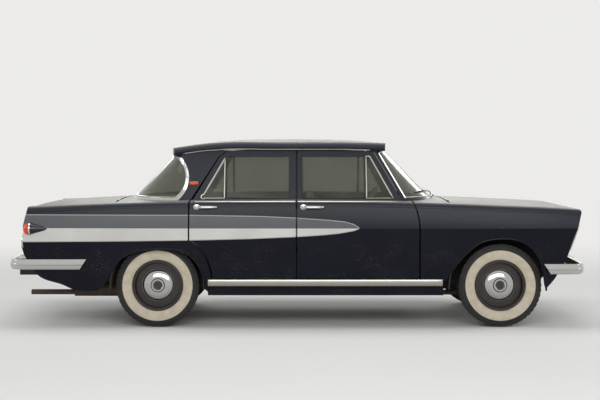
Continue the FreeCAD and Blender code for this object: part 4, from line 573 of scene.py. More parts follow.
def moulding(name, side, ends, z, depth, panel, proud, finish, body="body", steps=24):
    """A bright strip laid on a panel's side at a height, domed across its depth."""
    rows = []
    for i in range(steps + 1):
        x = ends[0] + (ends[1] - ends[0]) * i / steps
        low, high = z - depth / 2, z + depth / 2
        foot = skin(panel, side, x, low)[0]
        while high - low > depth / 4 and (skin(panel, side, x, high)[0] - foot).length > depth * 1.5:
            high -= depth / 16
        row = []
        for up in (0.0, 0.25, 0.5, 0.75, 1.0):
            lift = proud * (0.15 + 0.5 * math.sin(math.pi * up))
            row.append(skin(panel, side, x, low + up * (high - low))[0] + Vector((0, side * lift, 0)))
        rows.append(row)
    obj = ribbon(rows)
    outward_normals(obj)
    modify(obj, "SOLIDIFY", thickness=proud * 0.8, offset=0.0)
    modify(obj, "BEVEL", width=proud * 0.2, segments=2, limit_method="ANGLE")
    outward_normals(obj)
    place_here(obj, name, finish, body)


def lining(name, node, low, high, way, lift, finish, body="body", steps=(14, 8)):
    """A thin sheet laid on the inner side of a panel. low and high are two corners of the cast grid."""
    way = Vector(way)
    first, second = (axis for axis in range(3) if abs(way[axis]) < 0.5)
    rows = []
    for i in range(steps[0] + 1):
        row = []
        for j in range(steps[1] + 1):
            start = Vector(low)
            start[first] += (high[first] - low[first]) * i / steps[0]
            start[second] += (high[second] - low[second]) * j / steps[1]
            row.append(met(node, start, way)[0] - way * lift)
        rows.append(row)
    obj = ribbon(rows)
    outward_normals(obj)
    modify(obj, "SOLIDIFY", thickness=0.003, offset=0.0)
    outward_normals(obj)
    place_here(obj, name, finish, body)


def turned(name, centre, axis, profile, finish, body="body", steps=32):
    """A piece turned round an axis through centre. The profile gives distances along the axis and radii."""
    axis = Vector(axis).normalized()
    across = axis.orthogonal().normalized()
    other = axis.cross(across)
    rows = []
    for i in range(steps + 1):
        angle = math.tau * (i % steps) / steps
        way = across * math.cos(angle) + other * math.sin(angle)
        rows.append([Vector(centre) + axis * along + way * radius for along, radius in profile])
    obj = ribbon(rows)
    outward_normals(obj)
    place_here(obj, name, finish, body)


def slab(name, low, high, finish, body="body", edge=0.003, segments=2):
    """A block between two corners with its edges rounded."""
    clear()
    low, high = Vector(low), Vector(high)
    bpy.ops.mesh.primitive_cube_add(size=1, location=(low + high) / 2, scale=high - low)
    obj = bpy.context.object
    bpy.ops.object.transform_apply(location=True, scale=True)
    modify(obj, "BEVEL", width=edge, segments=segments, limit_method="ANGLE")
    place_here(obj, name, finish, body)


def bead(name, points, radius, finish, body="body", slot="chrome", closed=False, shares=None):
    """A round bar through points. shares gives its thickness at each point as a share of radius."""
    clear()
    bpy.ops.curve.primitive_nurbs_path_add()
    obj = bpy.context.object
    curve = obj.data
    curve.splines.clear()
    spline = curve.splines.new("POLY")
    spline.points.add(len(points) - 1)
    for point, where, thickness in zip(spline.points, points, shares or [1.0] * len(points)):
        point.co = (*where, 1)
        point.radius = thickness
    spline.use_cyclic_u = closed
    curve.dimensions = "3D"
    curve.bevel_depth = radius
    curve.bevel_resolution = 2
    curve.use_fill_caps = True
    obj.location = (0, 0, 0)
    bpy.ops.object.convert(target="MESH")
    obj = bpy.context.object
    outward_normals(obj)
    return place_here(obj, name, finish, body)


FINISH_NODES = {
    "glass": ("windscreen", "rear_window"),
    "chrome": ("rear_window_frame", "grille", "front_bumper", "rear_bumper"),
    "lamp": ("headlamps", "side_lamps"),
    "lens": ("tail_lamps",),
    "underbody": ("bumper_irons", "radiator", "front_suspension", "rear_axle", "fuel_tank", "wheelhouses",
                  "floor_pan"),
    "iron": ("engine", "knuckle_left", "knuckle_right"),
    "steel": ("propshaft", "exhaust"),
    "dash": ("dashboard", "steering_wheel"),
    "seat": ("front_seat", "rear_seat"),
}


class SALOON_OT_finishes(bpy.types.Operator):
    """Coats every fixed panel and part with its own finish"""

    bl_idname = "saloon.finishes"
    bl_label = "Finishes"

    def execute(self, context):
        finish_of = {node: finish for finish, nodes in FINISH_NODES.items() for node in nodes}
        for name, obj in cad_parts.items():
            if name.startswith("tyre_"):
                coat(obj, material("whitewall_rubber", tyre_rubber, middle_of(name)))
            elif name.startswith("wheel_"):
                coat(obj, material("wheel_enamel", wheel_enamel, middle_of(name)))
            else:
                coat(obj, finish_of.get(name, "glass" if name.startswith("glass_") else "paint"))
        return {"FINISHED"}


class SALOON_OT_sill_strips(bpy.types.Operator):
    """Lays the bright mouldings along both sills"""

    bl_idname = "saloon.sill_strips"
    bl_label = "Sill mouldings"

    def execute(self, context):
        low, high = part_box("side_frames")
        for side, word in SIDES:
            moulding("sill_moulding_" + word, side, (low.x + 0.004, high.x - 0.012), SILL_STRIP_Z,
                     context.scene.saloon_trim.sill_depth, "side_frames", 0.010, "bright", steps=40)
        return {"FINISHED"}


class SALOON_OT_belt_strips(bpy.types.Operator):
    """Lays the thin mouldings under the side windows, one on each door"""

    bl_idname = "saloon.belt_strips"
    bl_label = "Belt mouldings"

    def execute(self, context):
        for side, word in SIDES:
            for place, ends in (("front_", (0.010, 0.805)), ("rear_", (-0.800, -0.010))):
                door = "door_" + place + word
                moulding("belt_moulding_" + place + word, side, ends, BELT_STRIP_Z,
                         context.scene.saloon_trim.belt_depth, door, 0.008, "bright", door, 16)
        return {"FINISHED"}


class SALOON_OT_screen_trim(bpy.types.Operator):
    """Lays bright beads round the windscreen and the rear window"""

    bl_idname = "saloon.screen_trim"
    bl_label = "Screen beads"

    def execute(self, context):
        radius = context.scene.saloon_trim.bead * 1.35
        for node, way in (("windscreen", Vector((1, 0, 0.6))), ("rear_window", Vector((-1, 0, 0.6)))):
            points, _ = max(outer_rims(node, way), key=lambda loop: abs(loop[1].x))
            lift = way.normalized() * 0.006
            bead("bead_" + node, [point + lift for point in even(points, 0.03, True)], radius, "chrome",
                 closed=True)
        return {"FINISHED"}


class SALOON_OT_quarter_lights(bpy.types.Operator):
    """Frames the quarter lights of all four doors in bright metal, with dark seals round the main panes"""

    bl_idname = "saloon.quarter_lights"
    bl_label = "Quarter lights"

    def execute(self, context):
        radius = context.scene.saloon_trim.bead
        for side, word in SIDES:
            lift = Vector((0, side * 0.010, 0.002))
            for place, farthest in (("front_", max), ("rear_", min)):
                loops = outer_rims("glass_" + place + word, Vector((0, side, 0.2)))
                if len(loops) < 2:
                    raise RuntimeError("too few panes in glass_" + place + word)
                vent = farthest(loops, key=lambda loop: loop[1].x)
                for points, middle in loops:
                    name, share_of_bead, finish, slot = (
                        ("quarter_light_", 0.8, "bright", "chrome") if middle is vent[1]
                        else ("window_seal_", 0.7, "black", "tyre"))
                    bead(name + place + word, [point + lift for point in even(points, 0.04, True)],
                         radius * share_of_bead, finish, "door_" + place + word, slot, closed=True)
        return {"FINISHED"}


class SALOON_OT_door_handles(bpy.types.Operator):
    """Fits a pull handle with a round push button to every door"""

    bl_idname = "saloon.door_handles"
    bl_label = "Door handles"

    def execute(self, context):
        for side, word in SIDES:
            for place, x in (("front_", 0.026), ("rear_", -0.812)):
                self.grip(side, place + word, x, context.scene.saloon_trim.handle)
                self.boss(side, place + word, x + 0.028)
        return {"FINISHED"}

    def grip(self, side, word, x, length):
        """The bowed bar, thicker in its middle. Each row: share of the length, reach outwards, thickness."""
        rows = ((0.12, 0.004, 0.6), (0.16, 0.018, 0.85), (0.26, 0.030, 1.0), (0.5, 0.034, 1.05),
                (0.75, 0.031, 1.0), (0.92, 0.022, 0.85), (0.98, 0.010, 0.7), (1.0, 0.0, 0.55))
        points = [skin("door_" + word, side, x + along * length, HANDLE_Z)[0] + Vector((0, side * reach, 0))
                  for along, reach, _ in rows]
        grip = bead("handle_grip_" + word, points, 0.0128, "chrome", "door_" + word,
                    shares=[thickness for _, _, thickness in rows])
        modify(grip, "SUBSURF", levels=1)

    def boss(self, side, word, x):
        """The oval plate and the round button in it."""
        where, _ = skin("door_" + word, side, x, HANDLE_Z)
        for part, radius, deep, stretch in (("plate", 0.021, 0.010, 1.25), ("button", 0.0125, 0.024, 1.0)):
            clear()
            bpy.ops.mesh.primitive_cylinder_add(
                vertices=32, radius=radius, depth=deep, rotation=(math.pi / 2, 0, 0),
                location=where + Vector((0, side * deep * 0.42, 0)))
            obj = bpy.context.object
            bpy.ops.object.transform_apply(location=True, rotation=True)
            for vertex in obj.data.vertices:
                vertex.co.x = where.x + (vertex.co.x - where.x) * stretch
            modify(obj, "BEVEL", width=deep * 0.22, segments=3, limit_method="ANGLE")
            place_here(obj, "handle_%s_%s" % (part, word), "chrome", "door_" + word)


class SALOON_OT_arch_lips(bpy.types.Operator):
    """Rolls a narrow lip round each wheel opening"""

    bl_idname = "saloon.arch_lips"
    bl_label = "Arch lips"

    def execute(self, context):
        for side, word in SIDES:
            for place, node, axle in (
                    ("front_", "front_wings", FRONT_AXLE), ("rear_", "rear_quarters", REAR_AXLE)):
                runs = [self.longest(points, axle, side) for points, normal, _ in rims(node, 0.05)
                        if normal.y * side >= 0.2]
                best = max(runs, key=len)
                if len(best) < 6:
                    raise RuntimeError("no wheel opening on " + node)
                moved = [point + Vector((0, side * 0.0015, 0)) for point in even(best, 0.02)]
                bead("arch_lip_" + place + word, moved, 0.0042, "paint", slot="paint")
        return {"FINISHED"}

    def longest(self, points, axle, side):
        """The longest unbroken run of the loop that lies on the wheel opening."""
        best, run = [], []
        for point in points + points:
            across = Vector((point.x - axle.x, 0, point.z - axle.z)).length
            on_edge = across < 0.50 and point.z > 0.33 and point.y * side > 0.6
            if on_edge and len(run) < len(points):
                run.append(point)
            else:
                best = max(best, run, key=len)
                run = []
        return max(best, run, key=len)


class SALOON_OT_side_fittings(bpy.types.Operator):
    """Fits the pillar reflectors, the wing plugs, the roof gutters and the bright edges of nose and tail"""

    bl_idname = "saloon.side_fittings"
    bl_label = "Side fittings"

    def execute(self, context):
        for side, word in SIDES:
            moulding("pillar_reflector_" + word, side, (-0.856, -0.786), REFLECTOR_Z, 0.024, "rear_quarters",
                     0.012, "amber", steps=8)
            where, normal = skin("front_wings", side, *PLUG_PLACE)
            turned("wing_plug_" + word, where, normal, (
                (-0.002, 0.0), (-0.002, 0.0075), (0.001, 0.0075), (0.002, 0.005), (0.002, 0.0)),
                "black", steps=16)
            self.gutter(side, word)
            self.tail_edge(side, word)
            self.nose_edge(side, word)
        return {"FINISHED"}

    def gutter(self, side, word):
        """A bead along the roof's lower edge, which is looked for upwards from the windows."""
        points = []
        for i in range(GUTTER_STEPS + 1):
            x = GUTTER_X[0] + (GUTTER_X[1] - GUTTER_X[0]) * i / GUTTER_STEPS
            for step in range(24):
                edge, _ = met("roof", (x, side * OUTSIDE, 1.36 + step * 0.003), (0, -side, 0), needed=False)
                if edge:
                    points.append(edge + Vector((0, side * 0.001, 0.004)))
                    break
        if len(points) < GUTTER_STEPS / 2:
            raise RuntimeError("no roof edge found")
        bead("roof_gutter_" + word, points, 0.0042, "bright")

    def tail_edge(self, side, word):
        """A bright strip down the rear edge of the fin, from its top to the bumper."""
        points = []
        for x, z in ((-2.123, 0.868), (-2.141, 0.80), (-2.156, 0.745), (-2.168, 0.69), (-2.160, 0.63),
                     (-2.14, 0.57)):
            where, _ = met("rear_quarters", (x + 0.10, side * OUTSIDE, z), (0, -side, 0), needed=False)
            y = where.y if where and abs(where.y) > 0.6 else side * 0.78
            points.append(Vector((x + 0.004, y - side * 0.016, z)))
        bead("tail_edge_" + word, even(points, 0.03), 0.0075, "chrome")

    def nose_edge(self, side, word):
        """A bright strip down the front edge of the wing, which is looked for from the front."""
        points = []
        for z in (0.810, 0.760, 0.710, 0.660, 0.610):
            for step in range(120):
                x = 2.300 - step * 0.002
                where, _ = met("front_wings", (x, side * OUTSIDE, z), (0, -side, 0), needed=False)
                if where and where.y * side > 0.6:
                    break
            else:
                raise RuntimeError("no wing edge found at %.3f" % z)
            points.append(where + Vector((0.002, -side * 0.004, 0)))
        bead("nose_edge_" + word, points, 0.0055, "bright")


class SALOON_OT_wipers(bpy.types.Operator):
    """Parks two wipers along the foot of the windscreen"""

    bl_idname = "saloon.wipers"
    bl_label = "Wipers"

    def execute(self, context):
        for word, y, tip in (("left", 0.34, 0.02), ("right", -0.12, -0.46)):
            found = [met(node, (1.125, y, 2.0), (0, 0, -1), needed=False)[0]
                     for node in ("scuttle", "windscreen_frame")]
            foot = max((point for point in found if point), key=lambda point: point.z)
            turned("wiper_boss_" + word, foot, (0.25, 0, 1), (
                (-0.004, 0.0), (-0.004, 0.017), (0.006, 0.017), (0.012, 0.012), (0.026, 0.010), (0.030, 0.0)),
                "chrome", steps=20)
            middle = y * 0.35 + tip * 0.65
            line = [met("windscreen", (2.0, middle + along, z), (-1, 0, 0))[0] for along, z in (
                (0.17, 1.048), (0.085, 1.052), (0.0, 1.054), (-0.085, 1.054), (-0.17, 1.052))]
            blade = even([point + Vector((0.006, 0, 0.005)) for point in line], 0.02)
            bead("wiper_blade_" + word, blade, 0.0045, "black", slot="tyre")
            spine = [point + Vector((0.012, 0, 0.010)) for point in line]
            bead("wiper_spine_" + word, spine, 0.0032, "chrome", shares=(0.6, 1.0, 1.3, 1.0, 0.6))
            hold = line[2]
            arm = [foot + Vector((0.004, 0, 0.024)), foot.lerp(hold, 0.35) + Vector((0.020, 0, 0.030)),
                   foot.lerp(hold, 0.75) + Vector((0.020, 0, 0.024)), hold + Vector((0.014, 0, 0.013))]
            bead("wiper_arm_" + word, arm, 0.005, "chrome", shares=(1.3, 1.1, 0.8, 0.6))
        return {"FINISHED"}


class SALOON_OT_tyre_treads(bpy.types.Operator):
    """Cuts the shoulder blocks of the tyres' treads and fits rings in the wheels' enamel at the wheels' rims
    """

    bl_idname = "saloon.tyre_treads"
    bl_label = "Tyre treads"

    def execute(self, context):
        for side, word in SIDES:
            for place in ("front_", "rear_"):
                axle = middle_of("tyre_" + place + word)
                self.tread(place + word, axle)
                self.rim_edge(place + word, axle, side)
        return {"FINISHED"}

    def tread(self, word, axle):
        """Two rows of skewed blocks, each standing out of the crown to the tyre's full radius."""
        crown = TYRE_RADIUS - 0.0004
        half = math.tau * 0.33 / TREAD_BLOCKS
        clear()
        bpy.ops.mesh.primitive_cube_add(size=1)
        obj = bpy.context.object
        made = bmesh.new()
        for index in range(TREAD_BLOCKS):
            for row, offset in ((-1, 0.0), (1, 0.25)):
                turn = math.tau * (index + offset) / TREAD_BLOCKS
                verts = []
                for across, skew, drop in ((0.040, 0.0, 0.0), (0.069, 0.35, 0.0018)):
                    for end in (-1, 1):
                        angle = turn + half * (end + skew * row)
                        for radius in (crown - 0.012, crown - drop):
                            verts.append(made.verts.new((
                                axle.x + radius * math.sin(angle), axle.y + row * across,
                                axle.z + radius * math.cos(angle))))
                for face in (
                        (0, 1, 3, 2), (4, 6, 7, 5), (0, 4, 5, 1), (2, 3, 7, 6), (1, 5, 7, 3), (0, 2, 6, 4)):
                    made.faces.new([verts[i] for i in face])
        bmesh.ops.recalc_face_normals(made, faces=made.faces)
        made.to_mesh(obj.data)
        made.free()
        rubber = material("whitewall_rubber", tyre_rubber, axle)
        place_here(obj, "tread_blocks_" + word, rubber, "wheel_" + word)

    def rim_edge(self, word, axle, side):
        """The wire ring between the wheel's rim and the tyre's wall, coated in the wheel's enamel."""
        points = []
        for i in range(RIM_RING_POINTS):
            angle = math.tau * i / RIM_RING_POINTS
            point = axle + Vector((math.cos(angle), 0, math.sin(angle))) * RIM_RING_RADIUS
            where, _ = met("wheel_" + word, point + Vector((0, side * 0.5, 0)), (0, -side, 0), needed=False)
            point.y = where.y + side * 0.0005 if where else axle.y + side * 0.05
            points.append(point)
        enamel_here = material("wheel_enamel", wheel_enamel, axle)
        bead("rim_edge_" + word, points, 0.0035, enamel_here, "wheel_" + word, "rim", closed=True)


class SALOON_OT_plates(bpy.types.Operator):
    """Fits the blank number plates, and the lock and handle of the boot"""

    bl_idname = "saloon.plates"
    bl_label = "Plates and handles"

    def execute(self, context):
        back = self.face("tail_panel", -3.0, 1, 0.66) or self.face("boot_lid", -3.0, 1, 0.66)
        slab("rear_number_plate", (back.x - 0.012, -0.26, 0.60), (back.x - 0.004, 0.26, 0.71), "white_plate")
        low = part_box("front_bumper")[0].z
        front = self.face("front_bumper", 3.0, -1, low + 0.04)
        slab("front_number_plate", (front.x + 0.001, -0.21, low + 0.003),
             (front.x + 0.007, 0.21, low + 0.077), "white_plate")
        self.boot_handle()
        return {"FINISHED"}

    def face(self, node, x, way, z):
        """The point of a CAD node's middle line that faces backwards or forwards at z, if there is one."""
        return met(node, (x, 0.0, z), (way, 0, 0), needed=False)[0]

    def boot_handle(self):
        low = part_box("boot_lid")[0].z
        faces = [self.face("boot_lid", -3.0, 1, low + up) for up in (0.06, 0.09, 0.12)]
        back = next(point for point in faces if point)
        turned("boot_lock", back, (-1, 0, 0), (
            (-0.003, 0.0), (-0.003, 0.024), (0.004, 0.024), (0.008, 0.018), (0.020, 0.016), (0.022, 0.0)),
            "chrome", "boot_lid", steps=28)
        points = [back + Vector((-0.020, y, 0.0)) for y in (-0.055, -0.03, 0.0, 0.03, 0.055)]
        bead("boot_handle", points, 0.009, "chrome", "boot_lid", shares=(0.6, 0.9, 1.2, 0.9, 0.6))


def blown(obj, cap):
    """Blows a closed block up as cloth and keeps every point within cap of where it began."""
    before = [vertex.co.copy() for vertex in obj.data.vertices]
    cloth = obj.modifiers.new("Cloth", "CLOTH")
    cloth.settings.quality = 4
    cloth.settings.use_pressure = True
    cloth.settings.uniform_pressure_force = 4.0
    cloth.settings.effector_weights.gravity = 0.0
    cloth.point_cache.frame_start = 1
    cloth.point_cache.frame_end = CLOTH_FRAMES
    for number in range(1, CLOTH_FRAMES + 1):
        bpy.context.scene.frame_set(number)
    bpy.ops.object.modifier_apply(modifier=cloth.name)
    for vertex, start in zip(obj.data.vertices, before):
        move = vertex.co - start
        if move.length > cap:
            vertex.co = start + move * (cap / move.length)
    bpy.context.scene.frame_set(1)


def channel(distance):
    """How deep a sewn channel is at a distance from its seam."""
    return CHANNEL_DEPTH * math.exp(-(distance / CHANNEL_HALF) ** 2)


def cushion(name, corners, half_width, node, facing, replaces=True):
    """A padded bench cushion. corners holds its side view's low rear, low front, top rear and top front."""
    clear()
    bpy.ops.mesh.primitive_cube_add(size=1)
    obj = bpy.context.object
    for vertex in obj.data.vertices:
        x, z = corners[(vertex.co.x > 0) + 2 * (vertex.co.z > 0)]
        vertex.co = Vector((x, math.copysign(half_width, vertex.co.y), z))
    modify(obj, "BEVEL", width=0.03, segments=3, limit_method="ANGLE")
    modify(obj, "REMESH", mode="VOXEL", voxel_size=CUSHION_VOXEL)
    blown(obj, CUSHION_CAP)
    modify(obj, "SUBSURF", levels=1, render_levels=1)
    low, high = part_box(node)
    border = half_width - CHANNEL_BORDER
    normals = [vertex.normal.copy() for vertex in obj.data.vertices]
    for vertex, normal in zip(obj.data.vertices, normals):
        here = vertex.co
        shown = max(0.0, normal.dot(facing) - 0.35) / 0.65
        inside = max(0.0, min(1.0, (border - abs(here.y)) / 0.01))
        from_seam = abs((here.y / CHANNEL_STEP + 0.5) % 1.0 - 0.5) * CHANNEL_STEP
        here -= normal * max(channel(from_seam) * inside, channel(abs(here.y) - border)) * shown
        for axis in range(3):
            here[axis] = max(low[axis], min(high[axis], here[axis]))
    if replaces:
        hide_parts(node)
    return place_here(obj, name, "seat", "body")


def welt(name, pad, points):
    """Piping sewn along the edge of a cushion, laid on its skin."""
    line = []
    for point in even([Vector(point) for point in points], 0.03):
        _, where, normal, _ = pad.closest_point_on_mesh(point)
        line.append(where + normal * 0.001)
    bead(name, line, 0.0045, "trim_card", slot="seat")


class SALOON_OT_seats(bpy.types.Operator):
    """Upholsters the two benches: padded cushions with sewn channels, piping and plinths"""

    bl_idname = "saloon.seats"
    bl_label = "Benches"

    def execute(self, context):
        for node, half, (rear, front, bottom, top), back_corners in (
            ("front_seat", 0.595, (0.265, 0.60, 0.425, 0.545),
             ((0.165, 0.45), (0.262, 0.50), (0.075, 1.045), (0.128, 1.045))),
            ("rear_seat", 0.515, (-0.69, -0.305, 0.455, 0.545),
             ((-0.805, 0.47), (-0.705, 0.52), (-0.915, 0.945), (-0.862, 0.945))),
        ):
            seat = cushion(node + "_cushion", ((rear, bottom), (front, bottom), (rear, top), (front, top)),
                           half, node, Vector((0, 0, 1)))
            back = cushion(node + "_back", back_corners, half, node, Vector((1, 0, 0.3)).normalized(), False)
            (low_x, low_z), (top_x, top_z) = back_corners[1], back_corners[3]
            welt(node + "_front_piping", seat, ((front, -half, top), (front, half, top)))
            for side, place in SIDES:
                edge = side * half
                welt(node + "_side_piping_" + place, seat, ((rear, edge, top), (front, edge, top)))
                welt(node + "_back_piping_" + place, back, ((low_x, edge, low_z), (top_x, edge, top_z)))
                near, far = sorted((side * 0.18, edge * 0.96))
                slab(node + "_plinth_" + place, (rear + 0.11, near, 0.266),
                     (front - 0.04, far, bottom + 0.01), "black", edge=0.008)
            welt(node + "_top_piping", back, ((top_x, -half, top_z), (top_x, half, top_z)))
        return {"FINISHED"}


class SALOON_OT_cabin(bpy.types.Operator):
    """Fits the cabin: headlining, mats, door cards with their fittings, instruments and the horn ring"""

    bl_idname = "saloon.cabin"
    bl_label = "Cabin"

    def execute(self, context):
        lining("headlining", "roof", (-0.62, -0.44, 1.10), (0.30, 0.44, 1.10), (0, 0, 1), 0.004, "headcloth")
        for name, low_x, high_x in (("front_mat", 0.64, 0.98), ("rear_mat", -0.28, 0.12)):
            lining(name, "floor_pan", (low_x, -0.58, 0.60), (high_x, 0.58, 0.60), (0, 0, -1), 0.004, "black",
                   steps=(6, 40))
        for side, word in SIDES:
            self.door_trim("door_front_" + word, side, 0.05, 0.86)
            self.door_trim("door_rear_" + word, side, -0.58, -0.06)
        self.instruments()
        self.horn_ring()
        return {"FINISHED"}

    def door_trim(self, door, side, low_x, high_x):
        """The card, armrest, window winder and catch of one door."""
        lining(door + "_card", door, (low_x, 0.0, 0.42), (high_x, 0.0, 0.84), (0, side, 0), 0.003,
               "trim_card", door, steps=(10, 8))
        middle = (low_x + high_x) / 2
        wall = met(door, (middle, 0.0, 0.66), (0, side, 0))[0].y - side * 0.004
        near, far = sorted((wall, wall - side * 0.055))
        slab(door + "_armrest", (middle - 0.14, near, 0.645), (middle + 0.14, far, 0.69),
             "seat", door, 0.018, segments=4)
        inward = Vector((0, -side, 0))
        boss = Vector((middle + 0.17, wall, 0.74))
        turned(door + "_winder_boss", boss, inward, (
            (0.0, 0.0), (0.0, 0.022), (0.008, 0.020), (0.014, 0.010), (0.014, 0.0)), "chrome", door, steps=24)
        arm = [boss + inward * 0.014, boss + inward * 0.022 + Vector((-0.03, 0, -0.02)),
               boss + inward * 0.026 + Vector((-0.08, 0, -0.05))]
        bead(door + "_winder", arm, 0.005, "chrome", door)
        turned(door + "_winder_knob", arm[-1], inward, (
            (-0.002, 0.0), (-0.002, 0.006), (0.006, 0.009), (0.022, 0.009), (0.028, 0.0)),
            "black", door, 20)
        catch = Vector((middle - 0.14, wall, 0.76))
        lever = [catch, catch + inward * 0.022, catch + inward * 0.026 + Vector((0.06, 0, -0.008))]
        bead(door + "_catch", lever, 0.006, "chrome", door)

    def instruments(self):
        """Two dials and a clock with bright rims, and a row of knobs."""
        for name, y, radius in (
                ("speed_dial", 0.39, 0.048), ("gauge_dial", 0.27, 0.036), ("dash_clock", -0.30, 0.034)):
            where, _ = met("dashboard", (0.5, y, 0.85), (1, 0, 0))
            turned(name + "_rim", where, (-1, 0, 0), (
                (-0.004, radius), (0.006, radius), (0.009, radius - 0.003), (0.006, radius - 0.007),
                (0.003, radius - 0.008), (0.003, 0.0)), "chrome")
            turned(name + "_face", where, (-1, 0, 0), (
                (0.0, 0.0), (0.0, radius - 0.009), (0.0042, radius - 0.009), (0.0042, 0.0)),
                "black")
        for number, y in enumerate((0.12, 0.06, 0.0, -0.06, -0.12)):
            where, _ = met("dashboard", (0.5, y, 0.80), (1, 0, 0))
            turned("dash_knob_%d" % number, where, (-1, 0, 0), (
                (-0.003, 0.0), (-0.003, 0.006), (0.010, 0.006), (0.012, 0.012), (0.020, 0.011), (0.022, 0.0)),
                "black", steps=20)

    def horn_ring(self):
        """A ring with two bars and a boss, square to the steering column."""
        facing = Vector((-math.sin(COLUMN_ANGLE), 0, math.cos(COLUMN_ANGLE)))
        up = Vector((math.cos(COLUMN_ANGLE), 0, math.sin(COLUMN_ANGLE)))
        centre = WHEEL_CENTRE + facing * 0.012
        turns = [math.tau * i / 40 for i in range(40)]
        spokes = [up * math.cos(turn) + Vector((0, math.sin(turn), 0)) for turn in turns]
        ring = [centre + way * HORN_RING_RADIUS for way in spokes]
        bead("horn_ring", ring, 0.0035, "chrome", "steering_wheel", closed=True)
        for number, at in enumerate((10, 30)):
            bar = [centre + spokes[at] * 0.02, ring[at]]
            bead("horn_bar_%d" % number, bar, 0.0035, "chrome", "steering_wheel")
        turned("horn_boss", WHEEL_CENTRE, facing, (
            (0.002, 0.0), (0.002, 0.033), (0.012, 0.031), (0.018, 0.020), (0.020, 0.0)),
            "dash", "steering_wheel")


class SALOON_OT_engine_bay(bpy.types.Operator):
    """Dresses the engine, which shows when the bonnet is open"""

    bl_idname = "saloon.engine_bay"
    bl_label = "Engine bay"

    def execute(self, context):
        top = min(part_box("engine")[1].z, 0.80)
        slab("rocker_cover", (1.40, -0.055, top - 0.002), (1.75, 0.055, top + 0.045), "black",
             edge=0.014, segments=3)
        turned("oil_cap", (1.68, 0.0, top + 0.043), (0, 0, 1), (
            (0.0, 0.0), (0.0, 0.022), (0.014, 0.022), (0.018, 0.016), (0.018, 0.0)), "bright", steps=24)
        turned("air_cleaner", (1.50, 0.125, top), (0, 0, 1), (
            (-0.002, 0.0), (-0.002, 0.035), (0.012, 0.038), (0.014, 0.062), (0.045, 0.064), (0.050, 0.055),
            (0.052, 0.0)), "black", steps=40)
        distributor = Vector((1.62, -0.12, top))
        turned("distributor", distributor, (0, 0, 1), (
            (-0.002, 0.0), (-0.002, 0.030), (0.022, 0.032), (0.034, 0.024), (0.040, 0.0)),
            "black", steps=28)
        cap = distributor + Vector((0, 0, 0.036))
        for number in range(4):
            foot = Vector((1.45 + 0.075 * number, -0.075, top + 0.004))
            line = [foot, foot + Vector((0, 0, 0.014)), (foot + cap) / 2 + Vector((0, 0, 0.022)), cap]
            bead("plug_lead_%d" % number, line, 0.0035, "black", slot="iron")
        self.fan(Vector((1.815, 0.0, 0.62)))
        low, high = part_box("radiator")
        hose = [Vector((low.x + 0.004, 0.08, high.z - 0.05)), Vector((low.x - 0.03, 0.08, high.z - 0.045)),
                Vector((1.80, 0.06, 0.772)), Vector((1.77, 0.05, 0.762))]
        bead("top_hose", hose, 0.019, "black", slot="iron")
        return {"FINISHED"}

    def fan(self, hub):
        """Four twisted blades on a hub."""
        turned("fan_hub", hub, (1, 0, 0), ((-0.026, 0.0), (-0.026, 0.035), (0.008, 0.035), (0.012, 0.0)),
               "iron", steps=28)
        for number in range(4):
            turn = math.tau * number / 4 + 0.4
            way = Vector((0, math.cos(turn), math.sin(turn)))
            side = Vector((0.25, -math.sin(turn), math.cos(turn)))
            obj = ribbon([[hub + way * reach + side * across for across in (-0.03, 0.0, 0.03)]
                          for reach in (0.025, 0.08, 0.135)])
            modify(obj, "SOLIDIFY", thickness=0.0025, offset=0.0)
            outward_normals(obj)
            place_here(obj, "fan_blade_%d" % number, "iron")


def studio_paper(tree, place):
    """A pale paper floor that keeps the car's shadow and fades into the backdrop far away."""
    paper = add(tree, "BsdfPrincipled", {"Base Color": colour("e4e3e0"), "Roughness": 0.9})
    far = add(tree, "VectorMath", {0: place}, operation="LENGTH")
    fade = add(tree, "MapRange", {0: far, 1: 3.2, 2: 9.0}, interpolation_type="SMOOTHSTEP")
    glow = add(tree, "Emission", {"Color": colour("ecebe9"), "Strength": 1.0})
    return add(tree, "MixShader", {0: fade, 1: paper, 2: glow})


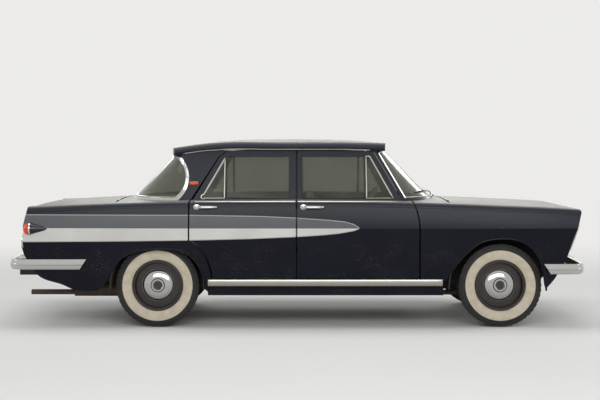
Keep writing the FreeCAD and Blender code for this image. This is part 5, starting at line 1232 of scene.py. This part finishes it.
class SALOON_OT_stage(bpy.types.Operator):
    """Sets the floor, the soft lights, the world and the camera at the photograph's place"""

    bl_idname = "saloon.stage"
    bl_label = "Stage"

    def execute(self, context):
        self.floor()
        self.lights()
        self.world()
        self.camera()
        return {"FINISHED"}

    def floor(self):
        clear()
        bpy.ops.mesh.primitive_plane_add(size=80, location=(0, 20, 0))
        floor = bpy.context.object
        floor.name = "studio_floor"
        bpy.ops.object.transform_apply(location=True)
        coat(floor, material("studio_paper", studio_paper))

    def lights(self):
        for name, place, size, size_y, power, aim in (
            ("overhead", (0.0, -0.3, 4.4), 6.5, 2.4, 95, (0, -0.3, 0.6)),
            ("near_side", (0.3, -7.2, 3.4), 8.0, 2.8, 270, (0, 0, 0.9)),
            ("far_side", (0.3, 7.2, 3.4), 8.0, 2.8, 230, (0, 0, 0.9)),
            ("nose_side", (6.5, -1.0, 2.8), 3.0, 2.5, 70, (0, 0, 0.7)),
            ("tail_side", (-6.5, -1.0, 2.8), 3.0, 2.5, 70, (0, 0, 0.7)),
        ):
            lamp = bpy.data.lights.new(name, "AREA")
            lamp.shape = "RECTANGLE"
            lamp.size = size
            lamp.size_y = size_y
            lamp.energy = power
            obj = bpy.data.objects.new(name, lamp)
            bpy.context.scene.collection.objects.link(obj)
            obj.location = place
            obj.rotation_euler = (Vector(aim) - Vector(place)).to_track_quat("-Z", "Y").to_euler()

    def world(self):
        """A pale backdrop to the eye, to mirrors and through glass, and a soft sky for everything else."""
        world = bpy.data.worlds.new("studio")
        bpy.context.scene.world = world
        world.use_nodes = True
        tree = world.node_tree
        tree.nodes.clear()
        direct = 0.0
        path = add(tree, "LightPath").outputs
        for ray in ("Is Camera Ray", "Is Glossy Ray", "Is Transmission Ray"):
            direct = add(tree, "Math", {0: direct, 1: path[ray]}, operation="MAXIMUM")
        seen = add(tree, "Background", {"Color": colour("ecebe9"), "Strength": 1.0})
        light = add(tree, "Background", {"Color": colour("dfe2e6"), "Strength": 0.35})
        mix = add(tree, "MixShader", {0: direct, 1: light, 2: seen})
        add(tree, "OutputWorld", {0: mix})

    def camera(self):
        lens = bpy.data.cameras.new("camera")
        camera = bpy.data.objects.new("camera", lens)
        bpy.context.scene.collection.objects.link(camera)
        camera.location = (0.027, -10.37, 1.43)
        camera.rotation_euler = (math.radians(90), 0, 0)
        lens.sensor_width = 36.0
        lens.lens = 73.0
        lens.shift_y = -54 / 600
        lens.clip_end = 200
        bpy.context.scene.camera = camera


class SALOON_PT_panel(bpy.types.Panel):
    """Lists the car's pieces in the sidebar"""

    bl_label = "Saloon car"
    bl_space_type = "VIEW_3D"
    bl_region_type = "UI"
    bl_category = "Saloon"

    def draw(self, context):
        for values in (context.scene.saloon_paint, context.scene.saloon_trim):
            for name in values.bl_rna.properties.keys():
                if name not in ("rna_type", "name"):
                    self.layout.prop(values, name)
        for operator in OPERATORS:
            self.layout.operator(operator.bl_idname)


OPERATORS = (
    SALOON_OT_finishes,
    SALOON_OT_sill_strips,
    SALOON_OT_belt_strips,
    SALOON_OT_screen_trim,
    SALOON_OT_quarter_lights,
    SALOON_OT_door_handles,
    SALOON_OT_arch_lips,
    SALOON_OT_side_fittings,
    SALOON_OT_wipers,
    SALOON_OT_tyre_treads,
    SALOON_OT_plates,
    SALOON_OT_seats,
    SALOON_OT_cabin,
    SALOON_OT_engine_bay,
    SALOON_OT_stage,
)
GROUPS = (SaloonPaint, SaloonTrim)


def register():
    for item in GROUPS + OPERATORS + (SALOON_PT_panel,):
        bpy.utils.register_class(item)
    bpy.types.Scene.saloon_paint = bpy.props.PointerProperty(type=SaloonPaint)
    bpy.types.Scene.saloon_trim = bpy.props.PointerProperty(type=SaloonTrim)


def unregister():
    del bpy.types.Scene.saloon_trim
    del bpy.types.Scene.saloon_paint
    for item in reversed(GROUPS + OPERATORS + (SALOON_PT_panel,)):
        bpy.utils.unregister_class(item)


def main():
    register()
    scene = bpy.context.scene
    scene.view_settings.view_transform = "Standard"
    for operator in OPERATORS:
        family, name = operator.bl_idname.split(".")
        getattr(getattr(bpy.ops, family), name)()


if __name__ == "__main__":
    main()
